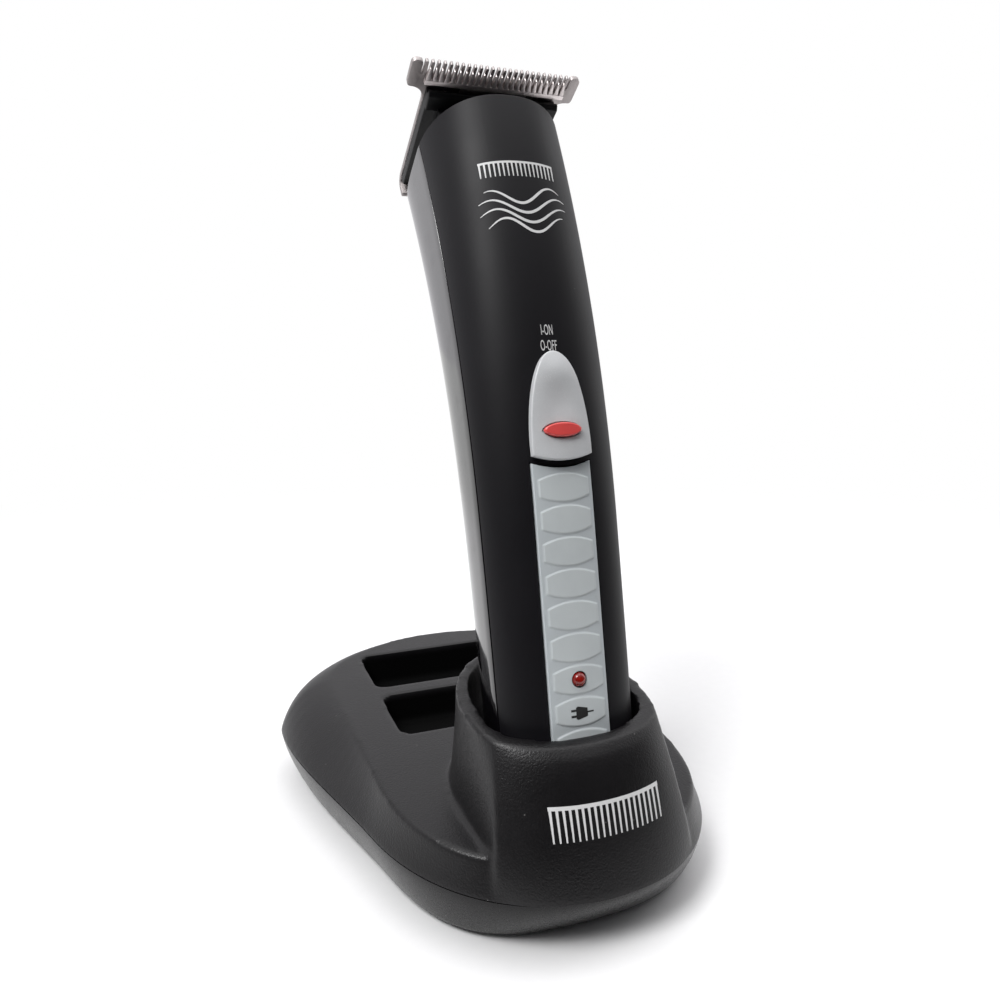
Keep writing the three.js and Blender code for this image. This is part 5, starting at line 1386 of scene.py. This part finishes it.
class StandFittingsOperator(bpy.types.Operator):
    """Sets out the rubber feet and the screws under the stand."""

    bl_idname = "trimmer.stand_fittings"
    bl_label = "Feet and stand screws"

    def execute(self, context):
        tree = set_out_tree()
        groups = [
            ("rubber_feet", STAND_FEET, foot_source(), "rubber", "rubber_foot_", "foot_rubber"),
            ("stand_screws", STAND_SCREWS, screw_source(), "fastener", "stand_screw_", "fastener_steel"),
        ]
        for name, places, copy, finish, prefix, slot in groups:
            points = bpy.data.objects.new("places", bpy.data.meshes.new("places"))
            points.data.from_pydata([(x * MM, y * MM, 0) for x, y in places], [], [])
            context.scene.collection.objects.link(points)
            piece = run_tree(name, tree, {"Points": points, "Copy": copy, "Material": FINISHES[finish]})
            drop(points)
            drop(copy)
            nodes = [prefix + str(i + 1) for i in range(len(places))]
            dress(piece, FINISHES[finish], "stand", nodes, slot)
        return {"FINISHED"}


def foot_source():
    r, top = FOOT_RADIUS, FOOT_HEIGHT + FOOT_SUNK
    profile = [(0, 0.25), (r * 0.55, 0.2), (r * 0.62, 0.0), (r - 0.5, 0.0), (r - 0.15, 0.12), (r, 0.5),
               (r, top), (0, top)]
    return turned_body("foot", profile, (0, 0, 0), (0, 0, 1), 36)


def screw_source():
    head, top = STAND_SCREW_HEAD, STAND_SCREW_HEAD_TOP
    low = FOOT_HEIGHT + 0.5
    profile = [(0, low), (head * 0.6, low), (head * 0.92, low + 0.3), (head, low + 0.75), (head, top),
               (STAND_SCREW_RADIUS, top)]
    for i in range(14):
        z = top + 0.4 + i * 0.7
        profile += [(STAND_SCREW_RADIUS, z), (STAND_SCREW_RADIUS * 0.78, z + 0.35)]
    profile += [(0.4, BOSS_BORE_TOP - 1), (0, BOSS_BORE_TOP - 0.8)]
    screw = turned_body("screw", profile, (0, 0, 0), (0, 0, 1), 28)
    for wide, deep in ((head * 0.62, 0.32), (0.32, head * 0.62)):
        combine(screw, box_piece("slot", (-wide, -deep, 0), (wide, deep, low + 0.8)), "DIFFERENCE")
    return screw


class ShellsOperator(bpy.types.Operator):
    """Builds the satin front shell and the gloss rear shell of the handpiece."""

    bl_idname = "trimmer.shells"
    bl_label = "Handpiece shells"

    def execute(self, context):
        front = shell_body("front_shell_fine", False)
        slot = box_piece("slot", (-STEM_HALF_WIDTH - GAP, -4, -STEM_HALF_LENGTH - GAP),
                         (STEM_HALF_WIDTH + GAP, 6, STEM_HALF_LENGTH + SWITCH_TRAVEL + GAP))
        combine(front, moved(slot, switch_frame()), "DIFFERENCE")
        combine(front, through("lamp_bore", LAMP_RADIUS + GAP, LAMP_AT, -5, 6), "DIFFERENCE")
        rear = shell_body("rear_shell_fine", True)
        for s in BODY_SCREWS:
            floor = screw_floor(s)
            combine(front, through("boss", BOSS_OUTER, s, SHELL_WALL - 0.6, BOSS_END), "UNION")
            combine(front, through("bore", SCREW_RADIUS + GAP, s, SHELL_WALL + 1, BOSS_END + 1), "DIFFERENCE")
            combine(rear, through("sleeve", SLEEVE_OUTER, s, BOSS_END + GAP, floor - 0.6), "UNION")
            combine(rear, through("bore", SCREW_RADIUS + GAP, s, BOSS_END - 1, floor + 3), "DIFFERENCE")
            sink = through("sink", BODY_SCREW_HEAD + GAP, s, floor - BODY_SCREW_RECESS, floor + 3)
            combine(rear, sink, "DIFFERENCE")
        holes = joined([rod("holes", CONTACT_RADIUS + GAP, body_point(0, side * CONTACT_X, BODY_DEPTH / 2),
                            BODY_UP, -3, SHELL_WALL + 1) for side in SIDES])
        combine(rear, holes, "DIFFERENCE")
        dress(front, FINISHES["front"], "handpiece", ["front_shell"], "front_shell")
        dress(rear, FINISHES["rear"], "handpiece", ["rear_shell"], "rear_shell")
        return {"FINISHED"}


class GripOperator(bpy.types.Operator):
    """Builds the pale grip strip with its row of raised pads, and the charge lamp."""

    bl_idname = "trimmer.grip"
    bl_label = "Grip strip and lamp"

    def execute(self, context):
        pad_height = context.scene.trimmer_sizes.pad_height / MM
        cell = 0.17
        half = STRIP_HALF_WIDTH
        x = np.concatenate([-half + np.array(EDGE_STEPS[:3]), np.arange(-half + 0.4, half - 0.39, cell),
                            half - np.array(EDGE_STEPS[2::-1])])
        s = np.concatenate([STRIP_START + np.array(EDGE_STEPS[:3]),
                            np.arange(STRIP_START + 0.4, STRIP_END - 0.39, cell),
                            STRIP_END - np.array(EDGE_STEPS[2::-1])])
        across, along = np.meshgrid(x, s)
        dip = STRIP_SAG * (1 - (across / half) ** 2)
        height = along - dip * np.interp(along, [66, STRIP_END], [0, 1])
        from_edge = np.minimum(half - np.abs(across), np.minimum(along - STRIP_START, STRIP_END - along))
        pads = pad_mask(across, height)
        grow = STRIP_PROUD - edge_drop(from_edge) + pads * pad_height
        top = front_point(across, height, grow)
        bottom = front_point(across, height, np.full_like(across, -STRIP_DEPTH))
        strip = walled("grip_strip_padded", top, bottom)
        combine(strip, through("lamp_bore", LAMP_RADIUS + LAMP_GAP, LAMP_AT, -5, 6, 48), "DIFFERENCE")
        mark_pads(strip)
        dress(strip, FINISHES["grip"], "handpiece", ["grip_strip"], "grip", 50)

        radius, top_at, shoulder = LAMP_RADIUS, LAMP_PROUD, 0.1
        profile = [(0, top_at)]
        for angle in np.radians(np.linspace(6, 90, 14)):
            profile.append((radius * 0.94 * math.sin(angle),
                            top_at - (top_at - shoulder) * (1 - math.cos(angle))))
        profile += [(radius, shoulder - 0.1), (radius, -6.3), (0, -6.3)]
        lamp = turned_body("lamp_dome", profile, body_point(LAMP_AT, 0, 0), -BODY_IN, 40)
        dress(lamp, FINISHES["lamp"], "handpiece", ["charge_led"], "lamp_red")
        return {"FINISHED"}


def mark_pads(strip):
    """Stores on each point of the strip how much of it is pad, for the material."""
    mesh = strip.data
    points = np.zeros(len(mesh.vertices) * 3)
    mesh.vertices.foreach_get("co", points)
    points = points.reshape(-1, 3) / MM
    lower = (points - BODY_FOOT) @ BODY_UP
    bent = np.maximum(0, lower - STRAIGHT_LENGTH)
    height = lower + bent ** 3 / (6 * BEND_RADIUS ** 2)
    share = pad_mask(points[:, 0], height)
    attribute = mesh.attributes.new("pad", "FLOAT", "POINT")
    attribute.data.foreach_set("value", share.astype(np.float32))


class SwitchOperator(bpy.types.Operator):
    """Builds the bullet-shaped switch button with its thumb dish and its red insert."""

    bl_idname = "trimmer.switch"
    bl_label = "Switch"

    def execute(self, context):
        station = SWITCH_AT + MARK_AT
        top = SWITCH_LIFT + SWITCH_THICKNESS
        button = cushion("switch_button_fine", button_outline(), (0, 5), station, SWITCH_LIFT, top, 0.28,
                         button_crown)
        room = lens_outline(MARK_HALF_WIDTH + GAP, MARK_HALF_HEIGHT + GAP)
        recess = cushion("recess", room, (0, 0), station, top - 0.5, top + 3, 0.01, no_crown)
        combine(button, recess, "DIFFERENCE")
        stem = box_piece("stem", (-STEM_HALF_WIDTH, -SWITCH_LIFT - 0.8, -STEM_HALF_LENGTH),
                         (STEM_HALF_WIDTH, STEM_REACH, STEM_HALF_LENGTH))
        combine(button, moved(stem, switch_frame()), "UNION")
        dress(button, FINISHES["button"], "switch", ["switch_button"], "switch_grey")
        mark = cushion("switch_insert", lens_outline(MARK_HALF_WIDTH, MARK_HALF_HEIGHT), (0, 0), station,
                       top - 0.2, top + 0.55, 0.45, lambda x, h: 0.25 * (1 - (x / MARK_HALF_WIDTH) ** 2))
        dress(mark, FINISHES["mark"], "switch", ["switch_mark"], "switch_red")
        return {"FINISHED"}


class BladesOperator(bpy.types.Operator):
    """Builds the fixed comb with its rolled heel and the moving cutter, both with rows of tapered teeth."""

    bl_idname = "trimmer.blades"
    bl_label = "Blades"

    def execute(self, context):
        ease = context.scene.trimmer_sizes.edge_ease / MM
        tree = tooth_row_tree()
        root = BLADE_LENGTH - TOOTH_LENGTH
        comb = prism("comb_plate", comb_outline(root), (0, BLADE_THICKNESS), ease)
        combine(comb, heel_piece(), "UNION")
        holes = bars("holes", [(side * BLADE_SCREW_X, BLADE_SCREW_U) for side in SIDES], BLADE_SCREW_HOLE, -1, 3)
        combine(comb, holes, "DIFFERENCE")
        tooth = tooth_piece(root - 0.5, BLADE_LENGTH, 0.92, 0.66,
                            (0, BLADE_THICKNESS), (0.1, BLADE_THICKNESS))
        self.grow(tree, "fixed_comb", comb, tooth, TOOTH_COUNT, "steel", "blade_head", "fixed_comb_blade",
                  "blade_steel")
        low = BLADE_THICKNESS + GAP
        high = low + CUTTER_THICKNESS
        tip = BLADE_LENGTH - CUTTER_SETBACK
        cutter_root = tip - CUTTER_TOOTH_LENGTH
        count = TOOTH_COUNT - 1
        half = count / 2 * TOOTH_PITCH
        bar = side_profile("cutter_bar", [
            (CUTTER_BAR_AT, low), (cutter_root, low), (cutter_root, high), (CUTTER_BAR_AT + 0.35, high),
            (CUTTER_BAR_AT, high - 0.35)], half, ease)
        stem = [(-CUTTER_STEM_HALF_WIDTH, CUTTER_STEM_END), (CUTTER_STEM_HALF_WIDTH, CUTTER_STEM_END),
                (CUTTER_STEM_HALF_WIDTH, CUTTER_BAR_AT + 0.6), (-CUTTER_STEM_HALF_WIDTH, CUTTER_BAR_AT + 0.6)]
        combine(bar, prism("stem", stem, (low + 0.05, high - 0.75), ease), "UNION")
        tooth = tooth_piece(cutter_root - 0.5, tip, 1.26, 0.4, (low, high), (low, high - 0.6))
        self.grow(tree, "moving_cutter", bar, tooth, count, "cutter", "cutter", "cutter_blade",
                  "cutter_steel")
        return {"FINISHED"}

    def grow(self, tree, name, plate, tooth, count, finish, body, node, slot):
        first = (-(count - 1) / 2 * TOOTH_PITCH * MM, 0.0, 0.0)
        piece = run_tree(name, tree, {
            "Plate": plate, "Tooth": tooth, "Count": count, "First": first,
            "Pitch": (TOOTH_PITCH * MM, 0.0, 0.0), "Material": FINISHES[finish]})
        drop(plate)
        drop(tooth)
        moved(piece, HEAD_FRAME)
        dress(weld(piece), FINISHES[finish], body, [node], slot, 30)


def comb_outline(root):
    """T outline of the fixed comb without its teeth, with rounded ends on the two posts."""
    tee = BLADE_LENGTH - TEE_DEPTH
    post = TOOTH_COUNT / 2 * TOOTH_PITCH + 0.15
    outer = TEE_HALF_WIDTH
    flare = outer - NECK_HALF_WIDTH - 0.4
    right = [np.array([(NECK_HALF_WIDTH, HEEL_BEND)])]
    right.append(bezier([(NECK_HALF_WIDTH, tee - flare), (NECK_HALF_WIDTH, tee), (outer - 0.8, tee)], 12))
    right.append(bezier([(outer - 0.8, tee), (outer, tee), (outer, tee + 1.2)], 6)[1:])
    right.append(bezier([(outer, BLADE_LENGTH - 1.4), (outer, BLADE_LENGTH), (outer - 1.2, BLADE_LENGTH)], 8))
    right.append(bezier([(post + 0.9, BLADE_LENGTH), (post, BLADE_LENGTH), (post, BLADE_LENGTH - 0.9)], 6))
    right.append(np.array([(post, root)]))
    half = np.concatenate(right)
    return np.concatenate([half, half[::-1] * (-1, 1)])


def tooth_piece(root, tip, root_width, tip_width, root_depths, tip_depths):
    """One tapered tooth with a rounded tip, thinner at the tip than at the root."""
    radius = tip_width / 2
    outline = [(-root_width / 2, root), (root_width / 2, root)]
    for angle in np.radians(np.linspace(0, 180, 9)):
        outline.append((radius * math.cos(angle), tip - radius + radius * math.sin(angle)))
    points = []
    for k in (0, 1):
        for x, u in outline:
            share = (u - root) / (tip - root)
            points.append((x, u, root_depths[k] + (tip_depths[k] - root_depths[k]) * share))
    return eased(new_piece("tooth", points, plate_faces(len(outline))), TOOTH_EASE, 2, 50)


def side_profile(name, profile, half, bevel):
    """A bar along x from an outline of u and depth."""
    points = [(x, u, z) for x in (-half, half) for u, z in profile]
    return eased(new_piece(name, points, plate_faces(len(profile))), bevel)


def heel_piece():
    """The comb's rear edge, rolled inwards with a rounded end."""
    t, bend = BLADE_THICKNESS, HEEL_BEND
    profile = []
    for angle in np.radians(np.linspace(-90, -180, 14)):
        profile.append((bend + bend * math.cos(angle), bend + bend * math.sin(angle)))
    for angle in np.radians(np.linspace(180, 0, 10)):
        profile.append((t / 2 + t / 2 * math.cos(angle), HEEL_REACH - t / 2 + t / 2 * math.sin(angle)))
    for angle in np.radians(np.linspace(180, 270, 10)):
        profile.append((bend + (bend - t) * math.cos(angle), bend + (bend - t) * math.sin(angle)))
    profile += [(bend + 0.4, t), (bend + 0.4, 0.0)]
    return side_profile("heel", profile, NECK_HALF_WIDTH, 0.12)


def holder_frame():
    """Side rails and front lip of the blade holder, close to the edge of the comb."""
    low = BLADE_THICKNESS + 0.1
    under = LIP_DEPTH + LIP_THICKNESS
    lip = side_profile("lip", [(LIP_START, LIP_DEPTH), (LIP_END, LIP_DEPTH), (LIP_END, LIP_DEPTH + 0.7),
                               (LIP_END - 0.8, under), (LIP_START, under)], RAIL_HALF_WIDTH, 0.2)
    for side in SIDES:
        inner, outer = side * (CUTTER_STEM_HALF_WIDTH + RAIL_INSET), side * RAIL_HALF_WIDTH
        outline = [(min(inner, outer), RAIL_START), (max(inner, outer), RAIL_START),
                   (max(inner, outer), LIP_END - 1), (min(inner, outer), LIP_END - 1)]
        combine(lip, prism("rail", outline, (low, LIP_DEPTH + 0.6), 0.2), "UNION")
    return lip


class HeadFittingsOperator(bpy.types.Operator):
    """Eases the moulded parts behind the blades and makes the screws that hold them."""

    bl_idname = "trimmer.head_fittings"
    bl_label = "Blade holder, chassis and screws"

    def execute(self, context):
        holder = softened("blade_holder", 0.35)
        combine(holder, moved(holder_frame(), HEAD_FRAME), "UNION")
        dress(holder, FINISHES["holder"], "blade_head", ["blade_holder"], "black_parts", 45)
        for node, finish, body, slot, width in (
                ("head_chassis", "black", "handpiece", "black_parts", 0.2),
                ("dc_inlet_jack", "black", "stand", "black_parts", 0.25),
                ("contact_block", "white", "stand", "white_parts", 0.3)):
            dress(softened(node, width), FINISHES[finish], body, [node], slot, 45)
        for side, node in ((-1, "blade_screw_left"), (1, "blade_screw_right")):
            head, low = BLADE_SCREW_HEAD, -BLADE_SCREW_PROUD
            profile = [(0, low), (head * 0.7, low), (head * 0.95, low + 0.15), (head, low + 0.4),
                       (head, -GAP), (SCREW_RADIUS, -GAP), (SCREW_RADIUS, BLADE_SCREW_END - 0.6), (0.6, BLADE_SCREW_END),
                       (0, BLADE_SCREW_END)]
            screw = turned_body("screw", profile, (side * BLADE_SCREW_X, BLADE_SCREW_U, 0), (0, 0, 1), 36)
            for wide, deep in ((1.4, 0.3), (0.3, 1.4)):
                low_corner = (side * BLADE_SCREW_X - wide, BLADE_SCREW_U - deep, -3)
                high_corner = (side * BLADE_SCREW_X + wide, BLADE_SCREW_U + deep, low + 0.45)
                combine(screw, box_piece("slot", low_corner, high_corner), "DIFFERENCE")
            screw.name = "fine_" + node
            dress(moved(screw, HEAD_FRAME), FINISHES["fastener"], "blade_head", [node], "fastener_steel")
        for i, s in enumerate(BODY_SCREWS):
            floor = screw_floor(s)
            head = BODY_SCREW_HEAD
            top = floor - BODY_SCREW_SUNK
            seat = top - BODY_SCREW_HEIGHT
            profile = [(0, 5.4), (SCREW_RADIUS, 5.6), (SCREW_RADIUS, seat), (head, seat), (head, top - 0.4),
                       (head * 0.92, top - 0.1), (head * 0.7, top), (0, top)]
            screw = turned_body("fine_body_screw_" + str(i + 1), profile, body_point(s, 0, 0), BODY_IN, 36)
            at = body_point(s, 0, 0)
            slot = box_piece("slot", (-1.5, top - 0.5, -0.3), (1.5, floor + 2, 0.3))
            combine(screw, moved(slot, frame_matrix((1, 0, 0), BODY_IN, BODY_UP, at)), "DIFFERENCE")
            dress(screw, FINISHES["fastener"], "handpiece", ["body_screw_" + str(i + 1)], "fastener_steel")
        return {"FINISHED"}


class PrintOperator(bpy.types.Operator):
    """Lays on the switch legend, the plug sign and the plain comb and hair graphics."""

    bl_idname = "trimmer.printing"
    bl_label = "Printing"

    def execute(self, context):
        def on_front(x0, s0, lift=0.02):
            return lambda x, h: front_point(x + x0, s0 + h, lift)
        ink = FINISHES["ink"]
        lettering("legend_on", "I-ON", 3.2, 0.39, on_front(-0.15, 101.1), ink, "handpiece")
        lettering("legend_off", "O-OFF", 3.2, 0.39, on_front(-0.1, 97.75), ink, "handpiece")
        printed("comb_sign", comb_strokes(17, 3.4, 18, 0.5), on_front(-1.0, 137.6), ink, "handpiece")
        printed("hair_sign", wave_strokes(21, 9, 4), on_front(-0.6, 128.0), ink, "handpiece")
        plug = [stroke([(-1.3, 0), (-1.0, 0), (1.3, 0)], [2.3, 2.8, 1.7]),
                stroke([(1.3, 0), (2.7, 0)], 0.3),
                stroke([(-2.4, 0.6), (-1.3, 0.6)], 0.45), stroke([(-2.4, -0.6), (-1.3, -0.6)], 0.45)]
        lift = STRIP_PROUD + context.scene.trimmer_sizes.pad_height / MM
        printed("plug_sign", plug, on_front(0.0, 22.0, lift + 0.02), FINISHES["dark_ink"], "handpiece")

        shell = bpy.data.objects["stand_shell"].data
        tree = BVHTree.FromPolygons([v.co[:] for v in shell.vertices],
                                    [p.vertices[:] for p in shell.polygons])

        def on_tower(x, h):
            found = []
            for across, height in zip(x, h):
                hit = tree.ray_cast(((across + 1.0) * MM, -0.2, (height + 27.0) * MM), (0, 1, 0))
                found.append(np.array(hit[0]) / MM + np.array(hit[1]) * 0.03)
            return np.array(found)
        printed("stand_comb_sign", comb_strokes(25, 6, 20, 0.7), on_tower, ink, "stand", 0.05)
        return {"FINISHED"}


CARRIED = {
    "charge_pin_left": "brass", "charge_pin_right": "brass", "stand_circuit_board": "board",
    "contact_plate_left": "brass", "contact_plate_right": "brass", "slide_switch_unit": "black",
    "battery_cell": "sleeve", "battery_tab_negative": "nickel", "battery_tab_positive": "nickel",
    "circuit_board": "board", "motor_can": "motor", "motor_end_cap": "white", "motor_shaft": "motor",
    "eccentric_cam": "white", "head_hinge_pin": "fastener", "cutter_tension_spring": "nickel",
    "drive_yoke": "white",
}


class InsideOperator(bpy.types.Operator):
    """Gives the working parts inside their materials."""

    bl_idname = "trimmer.inside"
    bl_label = "Inner parts"

    def execute(self, context):
        for node, finish in CARRIED.items():
            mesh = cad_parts[node].data
            mesh.materials.clear()
            mesh.materials.append(FINISHES[finish])
        return {"FINISHED"}


class StageOperator(bpy.types.Operator):
    """Sets the pale floor, the softboxes, the white room and the camera."""

    bl_idname = "trimmer.stage"
    bl_label = "Stage"

    def execute(self, context):
        studio = context.scene.trimmer_studio
        floor = box_piece("floor", (-FLOOR_REACH, -FLOOR_FRONT, -FLOOR_THICKNESS),
                          (FLOOR_REACH, FLOOR_REACH, 0))
        r = Recipe("Pale floor")
        paper = r.noise(3.0, 3.0, 0.5)
        sheet = r.principled(Base_Color=r.blend(rgba((0.75, 0.75, 0.75)), rgba((0.78, 0.78, 0.78)), paper),
                             Roughness=0.9)
        glow = r.make("ShaderNodeEmission", {}, {"Color": rgba((1, 1, 1)), "Strength": studio.floor_glow})
        away = r.make("ShaderNodeVectorMath", {"operation": "LENGTH"}, {0: r.place}, "Value")
        far = away.between(FLOOR_SHEET * MM, 2 * FLOOR_SHEET * MM)
        floor.data.materials.append(r.close(r.mixed(sheet, glow, far)))
        lights = (
            ("Key softbox", studio.key, (0.36, 0.36), (-0.52, -0.3, 0.86)),
            ("Fill softbox", studio.fill, (0.3, 0.6), (0.62, 0.05, 0.35)),
            ("Top softbox", studio.top, (0.9, 0.9), (0.05, 0.1, 0.95)),
        )
        for name, power, size, place in lights:
            data = bpy.data.lights.new(name, "AREA")
            data.shape = "RECTANGLE"
            data.size, data.size_y = size
            data.energy = power
            lamp = bpy.data.objects.new(name, data)
            context.scene.collection.objects.link(lamp)
            aim = np.array([0.0, 0.0, 0.08]) - np.array(place)
            lamp.matrix_world = looking(place, aim)
        self.room(context, studio.surroundings)
        data = bpy.data.cameras.new("Camera")
        data.lens = studio.lens
        data.sensor_width = 36.0
        data.clip_start = 0.01
        camera = bpy.data.objects.new("Camera", data)
        context.scene.collection.objects.link(camera)
        camera.matrix_world = looking((-0.07333, -0.1879, 0.1195), np.array([0.358, 0.914, -0.1915]))
        context.scene.camera = camera
        context.scene.view_settings.view_transform = "Standard"
        return {"FINISHED"}

    def room(self, context, strength):
        """White all round, dimmer behind the camera so that dark pieces keep their depth."""
        world = bpy.data.worlds.new("Room")
        context.scene.world = world
        world.use_nodes = True
        tree = world.node_tree
        tree.nodes.clear()
        output = tree.nodes.new("ShaderNodeOutputWorld")
        shown = tree.nodes.new("ShaderNodeBackground")
        shown.inputs["Color"].default_value = (1, 1, 1, 1)
        lit = tree.nodes.new("ShaderNodeBackground")
        lit.inputs["Strength"].default_value = strength
        place = tree.nodes.new("ShaderNodeTexCoord")
        towards = tree.nodes.new("ShaderNodeVectorMath")
        towards.operation = "DOT_PRODUCT"
        towards.inputs[1].default_value = BRIGHT_SIDE
        spread = tree.nodes.new("ShaderNodeMapRange")
        spread.interpolation_type = "SMOOTHSTEP"
        spread.inputs["From Min"].default_value = -0.4
        spread.inputs["From Max"].default_value = 0.6
        ramp = tree.nodes.new("ShaderNodeValToRGB")
        ramp.color_ramp.elements[0].color = (0.015, 0.015, 0.017, 1)
        ramp.color_ramp.elements[1].color = (1.0, 0.99, 1.02, 1)
        path = tree.nodes.new("ShaderNodeLightPath")
        mix = tree.nodes.new("ShaderNodeMixShader")
        link = tree.links.new
        link(place.outputs["Generated"], towards.inputs[0])
        link(towards.outputs["Value"], spread.inputs["Value"])
        link(spread.outputs["Result"], ramp.inputs["Fac"])
        link(ramp.outputs["Color"], lit.inputs["Color"])
        link(path.outputs["Is Camera Ray"], mix.inputs["Fac"])
        link(lit.outputs["Background"], mix.inputs[1])
        link(shown.outputs["Background"], mix.inputs[2])
        link(mix.outputs["Shader"], output.inputs["Surface"])


def looking(place, direction):
    """Matrix of a camera or light at a place, in metres, with its top up."""
    forward = np.asarray(direction, float)
    forward /= np.linalg.norm(forward)
    right = np.cross(forward, (0, 0, 1))
    right /= np.linalg.norm(right)
    up = np.cross(right, forward)
    return Matrix(frame_matrix(right, up, -forward, place).tolist())


OPERATORS = (StandShellOperator, StandPanOperator, StandFittingsOperator, ShellsOperator, GripOperator,
             SwitchOperator, BladesOperator, HeadFittingsOperator, PrintOperator, InsideOperator,
             StageOperator)


class TrimmerPanel(bpy.types.Panel):
    """Sizes, colours and steps of the trimmer."""

    bl_idname = "VIEW3D_PT_trimmer"
    bl_label = "Trimmer"
    bl_space_type = "VIEW_3D"
    bl_region_type = "UI"
    bl_category = "Trimmer"

    def draw(self, context):
        layout = self.layout
        scene = context.scene
        for group in (scene.trimmer_colors, scene.trimmer_sizes, scene.trimmer_studio):
            column = layout.column()
            for key in group.__annotations__:
                column.prop(group, key)
        for operator in OPERATORS:
            layout.operator(operator.bl_idname)


CLASSES = (TrimmerColors, TrimmerSizes, TrimmerStudio) + OPERATORS + (TrimmerPanel,)


def register():
    for item in CLASSES:
        bpy.utils.register_class(item)
    bpy.types.Scene.trimmer_colors = bpy.props.PointerProperty(type=TrimmerColors)
    bpy.types.Scene.trimmer_sizes = bpy.props.PointerProperty(type=TrimmerSizes)
    bpy.types.Scene.trimmer_studio = bpy.props.PointerProperty(type=TrimmerStudio)


def unregister():
    del bpy.types.Scene.trimmer_studio
    del bpy.types.Scene.trimmer_sizes
    del bpy.types.Scene.trimmer_colors
    for item in reversed(CLASSES):
        bpy.utils.unregister_class(item)


def main():
    register()
    make_finishes(bpy.context.scene.trimmer_colors)
    for operator in OPERATORS:
        group, name = operator.bl_idname.split(".")
        getattr(getattr(bpy.ops, group), name)()


if __name__ == "__main__":
    main()
